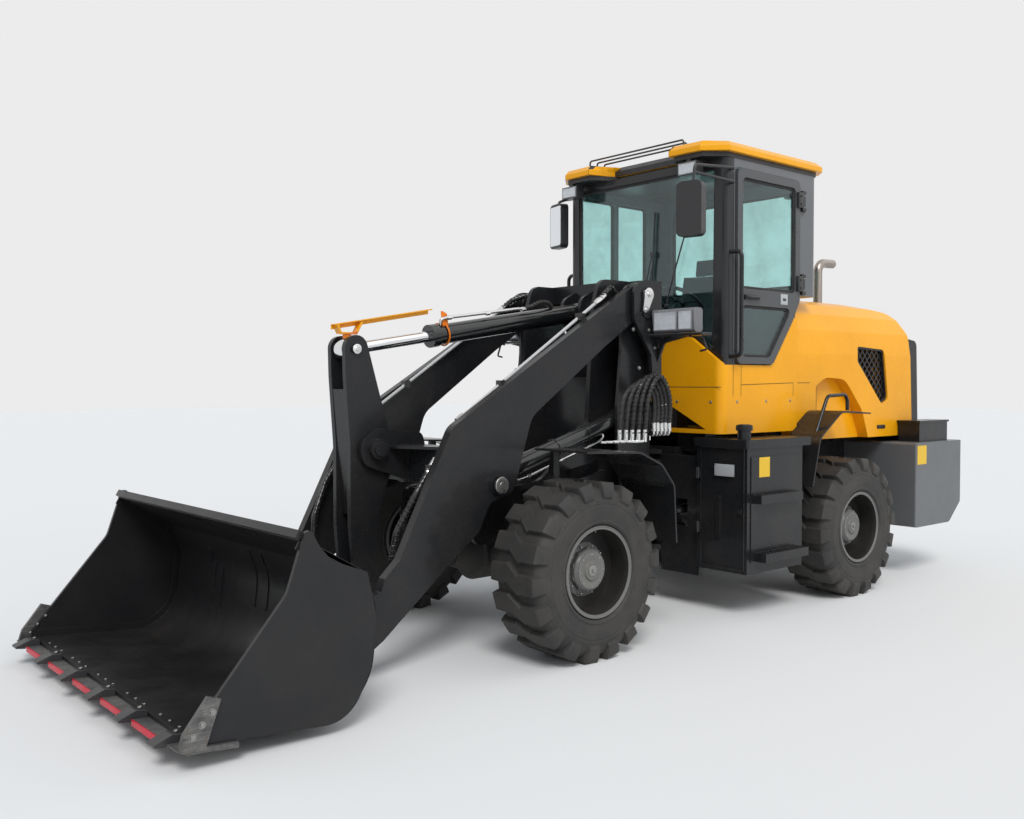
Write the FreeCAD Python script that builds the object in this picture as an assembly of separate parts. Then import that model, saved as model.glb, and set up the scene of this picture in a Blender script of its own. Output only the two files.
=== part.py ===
import FreeCAD, Part
import math
import os

# Articulated wheel loader with a Z-bar bucket linkage, in millimetres.
# X points forward and is measured from the front axle, Y points left, Z points up from the ground.
# Every piece is moved by X_SHIFT when it is written, so the frame's origin is mid-length on the ground.

V = FreeCAD.Vector

# Overall reach from the front axle
FRONT_REACH = 2660.0
REAR_REACH = 4720.0
X_SHIFT = (REAR_REACH - FRONT_REACH) / 2

# Clearances
PIN_FIT = 0.08
SKIN_GAP = 0.3
PIN_GAP = 6.0

# Wheels
TYRE_R = 537.5
TYRE_W = 410.0
TRACK = 1854.0
WHEEL_BASE = 2888.0
BEAD_R = 262.0
FLANGE_R = 274.0
FLANGE_INSET = 21.5
LUG_COUNT = 18
LUG_W = 120.0
LUG_STEP = 27.0
LUG_H = 30.0
SIDE_LUG = 8.0
HUB_R = 128.0
HUB_OUT = 112.0
HUB_BORE_R = 78.0
DISC_Y = 20.0
WHEEL_Y = TRACK / 2

# Axles
AXLE_TUBE_R = 82.0
DIFF_R = 190.0
BRAKE_R = 160.0
SPINDLE_R = HUB_BORE_R - PIN_FIT

# Articulation joint, midway between the axles
PIVOT_X = -WHEEL_BASE / 2
PIVOT_PIN_R = 38.0
LUG_PLATE = 34.0
UPPER_LUG_Z = 1100.0
LOWER_LUG_Z = 455.0

# Boom: pivot, bucket hinge, lift pin and arm plates
BOOM_PIVOT = (-930.0, 2230.0)
BUCKET_HINGE = (1420.0, 300.0)
LIFT_PIN = (360.0, 1040.0)
ARM_Y = 540.0
ARM_T = 60.0
ARM_END_R = 118.0
PIVOT_R = 45.0
BUCKET_PIN_R = 40.0
CROSS_X = (520.0, 700.0)
CROSS_Z = (1050.0, 1260.0)

# Rocker and bucket link
ROCKER_PIVOT = (926.0, 1260.0)
ROCKER_TOP = (1046.0, 1860.0)
ROCKER_FOOT = (979.0, 493.0)
LINK_PIN = (1545.0, 540.0)
ROCKER_Y = 65.0
ROCKER_T = 35.0
LINK_W = 100.0
LINK_PIN_R = 25.0

# Cylinders: base pins, bores and rods
LIFT_BASE = (-870.0, 1420.0)
LIFT_Y = 440.0
LIFT_BARREL_R = 58.0
LIFT_ROD_R = 30.0
LIFT_BARREL_L = 1120.0
TILT_BASE = (-915.0, 2175.0)
TILT_BARREL_R = 66.0
TILT_ROD_R = 36.0
TILT_BARREL_L = 1370.0
TILT_PUSH_IN = 240.0
LIFT_PUSH_IN = 20.0
STEER_BASE = (-2064.0, 360.0)
STEER_FRONT = (-1284.0, 400.0)
STEER_Z = 705.0
STEER_BARREL_R = 38.0
STEER_ROD_R = 20.0
STEER_BARREL_L = 500.0
BARREL_WALL = 10.0
EYE_W = 64.0
TILT_EAR_Y = TILT_BARREL_R + 10

# Front frame
WEB_Y = 330.0
WEB_T = 35.0
EAR_Y = 508.0
EAR_T = 25.0
OUTER_Y = 612.0
OUTER_T = 28.0
TOWER_REAR = -1090.0
WALL_T = 30.0
FRAME_LOW = 640.0

# Rear frame
RAIL_Y = 330.0
RAIL_T = 40.0
RAIL_Z = (750.0, 1180.0)
RAIL_FRONT = -1580.0
BULK_X = -1560.0

# Bucket
BUCKET_HALF = 1182.0
BUCKET_SIDE_T = 22.0
SHELL_T = 20.0
TOOTH_COUNT = 6
TOOTH_PITCH = 420.0
TOOTH_W = 80.0
EDGE_T = 25.0

# Cab
CAB_FRONT = -1600.0
CAB_REAR = -2750.0
CAB_HALF = 800.0
CAB_WALL = 50.0
SILL_Z = 1790.0
CAB_LOW = 1290.0
CAB_TOP = 3275.0
LINER_T = 35.0
ROOF_Z = CAB_TOP + LINER_T
ROOF_T = 75.0
ROOF_HALF = 837.0
DOOR_FRONT = -1700.0
DOOR_REAR = -2500.0
DOOR_TOP = 3215.0
DOOR_GAP = 8.0
DOOR_T = 45.0
HINGE_Y = CAB_HALF + 24.0
HINGE_X = DOOR_REAR - 14.0
GLASS_T = 8.0

# Hood
HOOD_FRONT = -2508.0
HOOD_REAR = -4290.0
HOOD_LOW = 1200.0
HOOD_TOP = 2330.0
HOOD_HALF = 780.0
HOOD_WALL = 130.0
ENGINE_TOP = 1820.0
STACK_X = -3570.0
STACK_Y = 290.0
STACK_R = 38.0

# Tanks and steps
TANK_X = (-2190.0, -1520.0)
TANK_Y = (612.0, 1050.0)
TANK_Z = (320.0, 1200.0)
LID_T = 62.0

# Counterweight
CW_FRONT = -3880.0
CW_HALF = 1050.0
CW_Z = (430.0, 1150.0)
TOW_R = 25.0


# Shape helpers

def corner(before, at, after, radius):
    """Start, middle and end of the arc that rounds one corner of a path."""
    inward = (at - before).normalize()
    outward = (after - at).normalize()
    turn = inward.getAngle(outward)
    reach = radius * math.tan(turn / 2)
    centre = at + (outward - inward).normalize() * (radius / math.cos(turn / 2))
    middle = centre + (at - centre).normalize() * radius
    return at - inward * reach, middle, at + outward * reach


def edges_through(points, radii, closed):
    """Straight and arc edges along a path whose corners are rounded."""
    count = len(points)
    runs = []
    for i in range(count):
        ends = not closed and i in (0, count - 1)
        if ends or radii[i] <= 0:
            runs.append((points[i], None, points[i]))
            continue
        runs.append(corner(points[i - 1], points[i], points[(i + 1) % count], radii[i]))
    edges = []
    for i in range(count if closed else count - 1):
        start, middle, end = runs[i]
        if middle is not None:
            edges.append(Part.Arc(start, middle, end).toShape())
        following = runs[(i + 1) % count][0]
        if end.distanceToPoint(following) > 0.001:
            edges.append(Part.LineSegment(end, following).toShape())
    return edges


PLANES = {
    "x": lambda a, b, at: V(at, a, b),
    "y": lambda a, b, at: V(a, at, b),
    "z": lambda a, b, at: V(a, b, at),
}


def wire(points, axis, at):
    """Closed wire from rows of (a, b) or (a, b, corner radius)."""
    place = PLANES[axis]
    flat = [place(row[0], row[1], at) for row in points]
    radii = [row[2] if len(row) > 2 else 0 for row in points]
    return Part.Wire(edges_through(flat, radii, True))


def plate(points, axis, low, high):
    """Outline drawn across an axis and extruded along it."""
    along = PLANES[axis](0, 0, high - low)
    return Part.Face(wire(points, axis, low)).extrude(along)


def box(x, y, z):
    """Block between two values on each axis."""
    lows = [min(pair) for pair in (x, y, z)]
    sizes = [abs(pair[1] - pair[0]) for pair in (x, y, z)]
    return Part.makeBox(*sizes, V(*lows))


def rod_between(start, end, radius):
    """Cylinder between two points."""
    along = end - start
    return Part.makeCylinder(radius, along.Length, start, along)


def across(x, z, y_low, y_high, radius):
    """Cylinder along Y."""
    return Part.makeCylinder(radius, y_high - y_low, V(x, y_low, z), V(0, 1, 0))


def upright(x, y, z_low, z_high, radius):
    """Cylinder along Z."""
    return Part.makeCylinder(radius, z_high - z_low, V(x, y, z_low), V(0, 0, 1))


def pipe(points, radius, bend):
    """Round bar along a path of straight runs joined by arcs of one radius."""
    path = [V(*row) for row in points]
    pieces = []
    start = path[0]
    for before, at, after in zip(path, path[1:], path[2:]):
        first, middle, last = corner(before, at, after, bend)
        inward = (at - before).normalize()
        outward = (after - at).normalize()
        towards = (outward - inward * inward.dot(outward)).normalize()
        ring = Part.Face(Part.Wire(Part.makeCircle(radius, first, inward)))
        turn = math.degrees(inward.getAngle(outward))
        if first.distanceToPoint(start) > 0.1:
            pieces.append(rod_between(start, first, radius))
        pieces.append(ring.revolve(first + towards * bend, inward.cross(outward), turn))
        start = last
    pieces.append(rod_between(start, path[-1], radius))
    return fused(pieces)


def turned(profile, y=0.0):
    """Solid of revolution about Y from rows of (y, radius)."""
    face = Part.Face(Part.makePolygon([V(0, y + a, r) for a, r in profile + profile[:1]]))
    return face.revolve(V(0, 0, 0), V(0, 1, 0), 360)


def faceted(profile, sides):
    """Turned form with flat sides about Y, from rows (y, distance of the flats)."""
    step = 2 * math.pi / sides
    rings = []
    for y, flat in profile:
        reach = flat / math.cos(step / 2)
        angles = [(k + 0.5) * step for k in range(sides)]
        rings.append([V(reach * math.sin(a), y, reach * math.cos(a)) for a in angles])
    faces = []
    for ring, following in zip(rings, rings[1:] + rings[:1]):
        for k in range(sides):
            n = (k + 1) % sides
            faces.append(Part.Face(Part.makePolygon([ring[k], ring[n], following[n], following[k], ring[k]])))
    solid = Part.makeSolid(Part.makeShell(faces))
    if solid.Volume < 0:
        solid.reverse()
    return solid


def strip(points, thickness):
    """Closed outline of a bent sheet: rows (a, b, outer corner radius), thickened to the right."""
    flat = [V(row[0], row[1], 0) for row in points]
    radii = [row[2] if len(row) > 2 else 0 for row in points]
    back = []
    for i, at in enumerate(flat):
        inward = (at - flat[i - 1]).normalize() if i > 0 else (flat[1] - at).normalize()
        outward = (flat[i + 1] - at).normalize() if i < len(flat) - 1 else inward
        side_in = V(inward.y, -inward.x, 0)
        side_out = V(outward.y, -outward.x, 0)
        middle = (side_in + side_out).normalize()
        shift = at + middle * (thickness / middle.dot(side_in))
        inside = inward.cross(outward).z < 0
        radius = radii[i] - thickness if inside else radii[i] + thickness
        back.append((shift.x, shift.y, max(radius, 0) if radii[i] else 0))
    return list(points) + back[::-1]


def mirrored(shape):
    """The same piece on the other side of the machine."""
    return shape.mirror(V(0, 0, 0), V(0, 1, 0))


def pair(shape):
    """A piece and its mirror image, as two solids of one node."""
    return Part.makeCompound([shape, mirrored(shape)])


def fused(shapes):
    """One solid from touching or overlapping shapes."""
    return shapes[0].multiFuse(shapes[1:]).removeSplitter()


def both_sides(shapes):
    """The shapes and their mirror images."""
    return shapes + [mirrored(shape) for shape in shapes]


def save(name, shape):
    """Write one piece in the frame whose origin is mid-length."""
    moved = shape.copy()
    moved.translate(V(X_SHIFT, 0, 0))
    moved.exportStep("parts/" + name + ".step")


# Wheels

def tyre():
    """Carcass with zigzag lugs that run across the whole tread, a groove at the bottom."""
    half = TYRE_W / 2
    carcass_half = half - SIDE_LUG
    seat = half - FLANGE_INSET - 14
    right = [(seat, BEAD_R), (seat, FLANGE_R + 2), (carcass_half, 390), (carcass_half - 34, TYRE_R - LUG_H)]
    carcass = faceted(right + [(-y, r) for y, r in right[::-1]], LUG_COUNT)
    reach = LUG_W / 2 + LUG_STEP
    top = math.sqrt(TYRE_R ** 2 - reach ** 2)
    crown = [(half, 445), (half - 22, top)]
    envelope = faceted(crown + [(-y, r) for y, r in crown[::-1]], LUG_COUNT)
    # Leading edge of a lug: along the tread, across the tread
    leading = [(reach, half + 5), (reach, 45), (reach - 2 * LUG_STEP, -45), (reach - 2 * LUG_STEP, -half - 5)]
    lug = plate(leading + [(-s, -y) for s, y in leading], "z", 430, TYRE_R).common(envelope)
    lugs = []
    for i in range(LUG_COUNT):
        copy = lug.copy()
        copy.rotate(V(0, 0, 0), V(0, 1, 0), i * 360 / LUG_COUNT)
        lugs.append(copy)
    whole = carcass.fuse(lugs)
    whole.rotate(V(0, 0, 0), V(0, 1, 0), 180 / LUG_COUNT)
    return whole


def rim():
    """Deep rim with a dish and a final-drive hub, outer side towards +Y."""
    edge = TYRE_W / 2 - FLANGE_INSET
    barrel_r = BEAD_R - SKIN_GAP
    inner_r = barrel_r - 14
    profile = [(-edge, FLANGE_R), (-edge, inner_r), (DISC_Y, inner_r), (DISC_Y, HUB_BORE_R),
               (DISC_Y + 45, HUB_BORE_R), (DISC_Y + 45, 0), (HUB_OUT + 14, 0), (HUB_OUT + 14, 52),
               (HUB_OUT, 60), (HUB_OUT, HUB_R - 12), (HUB_OUT - 14, HUB_R), (DISC_Y + 46, HUB_R),
               (DISC_Y + 30, HUB_R + 34), (DISC_Y + 16, HUB_R + 34), (DISC_Y + 16, inner_r),
               (edge - 30, inner_r), (edge, inner_r + 6), (edge, FLANGE_R), (edge - 9, FLANGE_R),
               (edge - 13, barrel_r), (-edge + 13, barrel_r), (-edge + 9, FLANGE_R)]
    return turned(profile)


def wheels():
    """Four wheels, with the tread mirrored from side to side."""
    rubber = tyre()
    steel = rim()
    rows = [("front_left", 0, 1), ("front_right", 0, -1), ("rear_left", -WHEEL_BASE, 1),
            ("rear_right", -WHEEL_BASE, -1)]
    for name, x, side in rows:
        for kind, shape in (("tyre", rubber), ("rim", steel)):
            piece = shape.copy() if side > 0 else mirrored(shape)
            piece.translate(V(x, side * WHEEL_Y, TYRE_R))
            save(kind + "_" + name, piece)


def axle(x, pad_top):
    """Axle housing: centre casing, tubes, final-drive ends and spring pads."""
    disc_face = WHEEL_Y + DISC_Y
    right = [
        across(x, TYRE_R, 0, 600, AXLE_TUBE_R),
        across(x, TYRE_R, 570, disc_face - 12, BRAKE_R),
        across(x, TYRE_R, 500, 580, BRAKE_R - 45),
        across(x, TYRE_R, disc_face - 20, disc_face + 36, SPINDLE_R),
        box((x - 95, x + 95), (345, 475), (TYRE_R, pad_top)),
    ]
    casing = Part.makeCylinder(DIFF_R, 210, V(x - 105, 0, TYRE_R), V(1, 0, 0))
    nose = Part.makeCone(DIFF_R - 40, 85, 170, V(x + 100, 0, TYRE_R), V(1, 0, 0))
    flange = Part.makeCylinder(70, 40, V(x + 265, 0, TYRE_R), V(1, 0, 0))
    cover = Part.makeCone(DIFF_R - 20, 110, 60, V(x - 104, 0, TYRE_R), V(-1, 0, 0))
    return fused([casing, nose, flange, cover] + both_sides(right))


# Front frame

def front_frame():
    """Box frame over the front axle with a tower for the boom and the cylinders."""
    ax, az = BOOM_PIVOT
    bx, bz = LIFT_BASE
    rear = TOWER_REAR
    web = plate([(rear, 430, 0), (-330, 430, 60), (-230, FRAME_LOW, 40), (330, FRAME_LOW, 60),
                 (420, 760, 40), (380, 960, 60), (-200, 1010, 200), (-640, 1360, 120),
                 (-700, 2180, 90), (-760, 2380, 90), (rear, 2380, 60)], "y", WEB_Y, WEB_Y + WEB_T)
    ear = plate([(rear, 700), (-830, 700, 60), (bx + 110, 1250, 60), (bx + 110, 1500, 90),
                 (-800, 1885, 80), (ax + 130, 2180, 60), (ax + 100, 2330, 110), (rear, 2380, 60)],
                "y", EAR_Y, EAR_Y + EAR_T)
    outer = plate([(rear, 1560, 0), (-1010, 1560, 20), (-985, 1850, 60), (ax + 120, 2090, 100),
                   (ax + 120, 2360, 115), (rear, 2360, 60)], "y", OUTER_Y, OUTER_Y + OUTER_T)
    side_wall = box((rear, rear + WALL_T), (WEB_Y, EAR_Y + 10), (700, 2380))
    outer_wall = box((rear, rear + WALL_T), (EAR_Y, OUTER_Y + OUTER_T), (1560, 2360))
    boom_pin = across(ax, az, EAR_Y - 20, OUTER_Y + OUTER_T + 8, PIVOT_R)
    keeper = plate([(ax - 48, az + 70, 34), (ax + 48, az + 70, 34), (ax + 34, az - 130, 30),
                    (ax - 34, az - 130, 30)], "y", OUTER_Y + OUTER_T, OUTER_Y + OUTER_T + 12)
    lift_pin = across(bx, bz, WEB_Y + 5, EAR_Y + EAR_T + 12, 30)
    steer_arm = plate([(rear + 20, 335), (rear + 20, 470, 20), (STEER_FRONT[0] - 10, 455, 50),
                       (STEER_FRONT[0] - 58, 400, 40), (STEER_FRONT[0] - 30, 335, 30)], "z",
                      STEER_Z - EYE_W / 2 - 28, STEER_Z - EYE_W / 2 - PIN_GAP)
    right = [web, ear, outer, side_wall, outer_wall, boom_pin, keeper, lift_pin, steer_arm]
    across_parts = [
        box((rear, rear + WALL_T), (-WEB_Y, WEB_Y), (430, 2000)),
        box((rear, -960), (-WEB_Y, WEB_Y), (2250, 2380)),
        box((300, 360), (-WEB_Y, WEB_Y), (700, 930)),
        box((-640, 360), (-WEB_Y, WEB_Y), (930, 955)),
        box((-900, -860), (-WEB_Y, WEB_Y), (955, 1700)),
    ]
    tx, tz = TILT_BASE
    tilt_ear = plate([(rear, 1960), (tx - 20, 1960, 40), (tx + 90, tz - 40, 60), (tx + 85, tz + 85, 80),
                      (tx - 60, tz + 160, 40), (-1000, 2300), (rear, 2300)], "y", TILT_EAR_Y, TILT_EAR_Y + 30)
    tilt_pin = across(tx, tz, -TILT_EAR_Y - 48, TILT_EAR_Y + 48, 36)
    lugs = []
    for z in (UPPER_LUG_Z, LOWER_LUG_Z):
        tongue = plate([(rear + 10, -WEB_Y), (rear + 10, WEB_Y), (PIVOT_X - 40, 105, 60),
                        (PIVOT_X - 40, -105, 60)], "z", z - LUG_PLATE / 2, z + LUG_PLATE / 2)
        nose = upright(PIVOT_X, 0, z - LUG_PLATE / 2, z + LUG_PLATE / 2, 100)
        hole = upright(PIVOT_X, 0, z - LUG_PLATE, z + LUG_PLATE, PIVOT_PIN_R + PIN_FIT)
        lugs.append(tongue.fuse(nose).cut(hole))
    body = fused(both_sides(right) + across_parts + both_sides([tilt_ear]) + lugs
                 + [tilt_pin])
    # The barrels' eyes carry the holes and turn on the frame's pins
    save("front_frame", body)


def front_fenders():
    """Bent plates over the front tyres on stepped brackets from the frame's webs."""
    path = [(105, 1255), (-360, 1235, 120), (-560, 1150, 110), (-680, 1010, 90), (-705, 640)]
    sheet = plate(strip(path, -12), "y", 655, 1112)
    inner = WEB_Y + WEB_T + SKIN_GAP
    arms = []
    # Columns: x, height at the web, height under the sheet
    for x, root, top in ((-90, 920, 1245), (-500, 1030, 1175)):
        outline = [(inner, root - 40), (inner, root + 40), (610, root + 110, 40), (640, top), (668, top),
                   (668, root + 60, 30), (600, root + 30, 40)]
        arms.append(plate(outline, "x", x, x + 50))
    return pair(fused([sheet] + arms))


def headlights():
    """Rectangular lamps on shelves that reach out from the tower."""
    shelf_y = OUTER_Y + OUTER_T + SKIN_GAP
    shelf = box((-1070, -965), (shelf_y, 1090), (1972, 1990))
    rib = plate([(shelf_y, 1800), (shelf_y, 1980), (960, 1980), (700, 1930, 30)], "x", -1062, -1046)
    lamp = plate([(-1060, 1996, 24), (-978, 1996, 24), (-962, 2158, 24), (-1060, 2158, 24)], "y", 662, 1022)
    foot = box((-1040, -1000), (800, 860), (1988, 2000))
    tower_pad = box((-1062, -1020), (shelf_y, shelf_y + 30), (1900, 1975))
    return pair(fused([shelf, rib, lamp, foot, tower_pad]))


def frame_hoses():
    """Four hydraulic hoses looped outside the tower, both ends in the frame's ear plate."""
    face = EAR_Y + EAR_T + SKIN_GAP
    loops = []
    # Columns: x, upper end, lower end, reach outwards
    for x, high, low, reach in ((-1070, 1500, 1330, 84), (-1032, 1520, 1310, 104),
                                (-994, 1510, 1316, 92), (-956, 1490, 1336, 76)):
        loops.append(pipe([(x, face + 2, high), (x, face + reach, high), (x, face + reach, low),
                           (x, face + 2, low)], 15, 55))
    plate_up = box((-1088, -938), (face, face + 14), (1440, 1548))
    plate_low = box((-1088, -938), (face, face + 14), (1286, 1360))
    return fused([plate_up, plate_low] + loops)


# Boom, rocker, link and bucket

def boom():
    """Two cranked arms, the cross box with the rocker brackets, and pins for the rocker."""
    ax, az = BOOM_PIVOT
    hx, hz = BUCKET_HINGE
    px, pz = LIFT_PIN
    arm = plate([(ax, az + ARM_END_R - 4), (ax + 30, az + ARM_END_R - 4, 20), (ax + 140, 2288, 60),
                 (-568, 2162, 500),
                 (701, 1398, 120), (1073, 665, 60), (1174, 570, 0), (1200, 500, 0), (hx - 10, hz + 130, 60),
                 (hx + 128, hz + 60, 100), (hx + 90, hz - 110, 110), (hx - 150, hz - 125, 90),
                 (1188, 225, 60), (722, 600, 120), (500, 770, 80), (px + 60, pz - 105, 90),
                 (px - 130, pz - 50, 90), (81, 1446, 160), (-569, 1900, 200),
                 (ax + 20, az - ARM_END_R + 4, 20),
                 (ax, az - ARM_END_R + 4)],
                "y", ARM_Y, ARM_Y + ARM_T)
    arm = arm.fuse(across(ax, az, ARM_Y, ARM_Y + ARM_T, ARM_END_R)).removeSplitter()
    arm = arm.cut(across(ax, az, 0, 2 * ARM_Y, PIVOT_R + PIN_FIT))
    arm = arm.cut(across(hx, hz, 0, 2 * ARM_Y, BUCKET_PIN_R + PIN_FIT))
    boss = across(px, pz, LIFT_Y + EYE_W / 2 + PIN_GAP, ARM_Y + ARM_T + 14, 62)
    head = across(px, pz, ARM_Y + ARM_T, ARM_Y + ARM_T + 34, 40)
    cx, cz = ROCKER_PIVOT
    bracket_y = ROCKER_Y + ROCKER_T + PIN_GAP
    bracket = plate([(CROSS_X[0] + 40, CROSS_Z[1] - 20), (CROSS_X[0] + 70, CROSS_Z[1] + 90, 50),
                     (cx - 10, cz + 125, 90), (cx + 120, cz + 40, 90), (cx + 95, cz - 95, 90),
                     (CROSS_X[1], CROSS_Z[0] + 10, 60), (CROSS_X[0] + 40, CROSS_Z[0] + 10)],
                    "y", bracket_y, bracket_y + 34)
    gusset = plate([(CROSS_X[0] + 70, bracket_y + 30), (CROSS_X[1] + 150, bracket_y + 30),
                    (CROSS_X[1] - 12, 470),
                    (CROSS_X[1] - 12, ARM_Y), (CROSS_X[0] + 70, ARM_Y)], "z", CROSS_Z[1] - 1, CROSS_Z[1] + 17)
    washer = across(cx, cz, bracket_y + 30, bracket_y + 78, 62)
    cap = across(cx, cz, bracket_y + 78, bracket_y + 92, 44)
    cross = box(CROSS_X, (-ARM_Y, ARM_Y), CROSS_Z)
    pin = across(cx, cz, -bracket_y - 34, bracket_y + 34, PIVOT_R)
    return fused([cross, pin] + both_sides([arm, boss, head, bracket, gusset, washer, cap]))


def boom_pipes():
    """Steel pipes along the inside of the arms, each ending in a hose, on clamps."""
    y = ARM_Y - 32
    side = ARM_Y - SKIN_GAP
    steel = pipe([(-640, y, 2236), (590, y, 1437), (820, y, 1130)], 11, 120)
    hose = pipe([(800, y, 1156), (905, y, 1010), (1010, y - 40, 800), (1030, y - 60, 640)], 17, 110)
    upper = pipe([(-610, y, 2216), (-700, y - 10, 2285), (-790, 440, 2320), (-880, 425, 2250)], 17, 50)
    clamps = [box((x - 24, x + 24), (y - 16, side), (z - 24, z + 24)) for x, z in ((-420, 2094), (260, 1650))]
    bracket = box((780, 820), (y - 16, side), (1130, 1180))
    return pair(fused([steel, hose, upper, bracket] + clamps))


def rocker():
    """Double-plate lever on the boom, joined by a front strip below the rod's slot."""
    tx, tz = ROCKER_TOP
    cx, cz = ROCKER_PIVOT
    fx, fz = ROCKER_FOOT
    outline = [(tx - 66, tz + 84, 78), (tx + 76, tz + 84, 78), (tx + 70, tz - 160, 300),
               (cx + 160, cz + 20, 500),
               (fx + 106, fz + 300, 300), (fx + 74, fz - 74, 70), (fx - 74, fz - 74, 70),
               (fx - 90, fz + 380, 300), (cx - 162, cz - 60, 120), (cx - 112, cz + 110, 300)]
    side = plate(outline, "y", ROCKER_Y, ROCKER_Y + ROCKER_T)
    side = side.cut(across(cx, cz, 0, 2 * ARM_Y, PIVOT_R + PIN_FIT))
    web = plate([(cx + 116, cz - 30), (cx + 150, cz - 30), (tx + 62, tz - 240), (tx + 32, tz - 240)],
                "y", -ROCKER_Y - 1, ROCKER_Y + 1)
    low_web = plate([(cx + 116, cz - 30), (cx + 150, cz - 30), (cx + 118, cz - 400), (cx + 88, cz - 400)],
                    "y", -ROCKER_Y - 1, ROCKER_Y + 1)
    top_pin = across(tx, tz, ROCKER_Y + ROCKER_T - 2, ROCKER_Y + ROCKER_T + 10, 30)
    foot_pin = across(fx, fz, ROCKER_Y + ROCKER_T - 2, ROCKER_Y + ROCKER_T + 10, 40)
    return fused([web, low_web] + both_sides([side, top_pin, foot_pin]))


def bucket_link():
    """Bar from the rocker's foot to the bucket."""
    start = V(ROCKER_FOOT[0], 0, ROCKER_FOOT[1])
    end = V(LINK_PIN[0], 0, LINK_PIN[1])
    along = (end - start).normalize()
    side = V(-along.z, 0, along.x)
    half = LINK_W / 2
    corners = [start + side * 46, end + side * 34, end - side * 34, start - side * 46]
    bar = plate([(c.x, c.z) for c in corners], "y", -half, half)
    eyes = [across(*ROCKER_FOOT, -half, half, 62), across(*LINK_PIN, -half, half, 44)]
    hole = across(*LINK_PIN, -ARM_Y, ARM_Y, LINK_PIN_R + PIN_FIT)
    return fused([bar] + eyes).cut(hole)


def bucket_shell():
    """Curved sheet between two side plates, with hinge ears and link ears behind."""
    half = BUCKET_HALF - BUCKET_SIDE_T
    rear = [(1657, 752, 60), (1588, 560, 260), (1640, 44, 300)]
    sheet = plate(strip([(2005, 955)] + rear + [(2524, 112)], -SHELL_T), "y", -half - 1, half + 1)
    side = plate([(1978, 1013, 24), (2083, 702, 120), (2532, 172, 0), (2524, 112), (1759, 50, 200),
                  (1636, 289, 200), (1606, 532, 200), (1657, 752, 20), (1852, 829, 0), (1913, 898, 0)],
                 "y", half, BUCKET_HALF)
    lip = plate([(1960, 905), (2030, 950), (2010, 985), (1940, 940)], "y", -half, half)
    hx, hz = BUCKET_HINGE
    ears = []
    for y in (ARM_Y - PIN_GAP - 34, ARM_Y + ARM_T + PIN_GAP):
        ears.append(plate([(hx - 95, hz - 95, 90), (hx - 95, hz + 95, 90), (hx + 60, hz + 150, 80),
                           (1608, 640), (1640, 300), (1700, 90), (hx + 60, hz - 120, 90)], "y", y, y + 34))
    pin = across(hx, hz, ARM_Y - PIN_GAP - 34, ARM_Y + ARM_T + PIN_GAP + 34, BUCKET_PIN_R)
    cap = across(hx, hz, ARM_Y + ARM_T + PIN_GAP + 30, ARM_Y + ARM_T + PIN_GAP + 50, 62)
    lx, lz = LINK_PIN
    ear_y = LINK_W / 2 + PIN_GAP
    link_ear = plate([(lx - 75, lz - 80, 70), (lx - 75, lz + 80, 70), (1625, lz + 170, 0), (1700, 700),
                      (1640, 400), (1612, 330), (lx - 20, lz - 160, 60)], "y", ear_y, ear_y + 30)
    link_pin = across(lx, lz, -ear_y - 38, ear_y + 38, LINK_PIN_R)
    back_rib = plate([(1600, 400), (1560, 440, 30), (1560, 640, 30), (1640, 760), (1640, 400)], "y", 640, 660)
    inside = plate([(2005, 955), (1684, 752, 60), (1615, 560, 240), (1664, 66, 280), (2524, 133),
                    (2600, 900)],
                   "y", -half, half)
    ribs = fused(both_sides(ears + [link_ear, back_rib])).cut(inside)
    return fused([sheet, lip, link_pin, ribs] + both_sides([side, pin, cap]))


def edge_top(x):
    """Height of the bucket's underside, which the edge plate lies against."""
    return 112 - (2524 - x) * (112 - 50) / (2524 - 1759) - SKIN_GAP


def bucket_edge():
    """Bolt-on cutting edge under the shell's front and the two side cutters."""
    low, high, tip = 2330, 2560, 2605
    outer = BUCKET_HALF + 22
    edge = plate([(low, edge_top(low) - EDGE_T), (high, edge_top(high) - EDGE_T), (tip, edge_top(tip) - 8),
                  (tip, edge_top(tip)), (low, edge_top(low))], "y", -outer, outer)
    cutter = plate([(2410, 300), (2470, 320), (2580, 178), (2600, edge_top(2600) - 4),
                    (2480, edge_top(2480) - 4)],
                   "y", BUCKET_HALF + SKIN_GAP, outer)
    return fused([edge] + both_sides([cutter]))


def bucket_teeth():
    """Bolt-on teeth, each a shank on the edge with a tapered point."""
    back, front = 2528, 2600
    base = edge_top(back) + 2 * SKIN_GAP
    lip = edge_top(front) + 2 * SKIN_GAP
    outline = [(back, base), (front + 7, lip), (front + 7, lip - 14), (FRONT_REACH, lip - 6),
               (FRONT_REACH, lip + 4),
               (front - 20, lip + 34, 30), (back, base + 30)]
    teeth = []
    for i in range(TOOTH_COUNT):
        y = (i - (TOOTH_COUNT - 1) / 2) * TOOTH_PITCH
        teeth.append(plate(outline, "y", y - TOOTH_W / 2, y + TOOTH_W / 2))
    return Part.makeCompound(teeth)


# Cylinders

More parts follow.
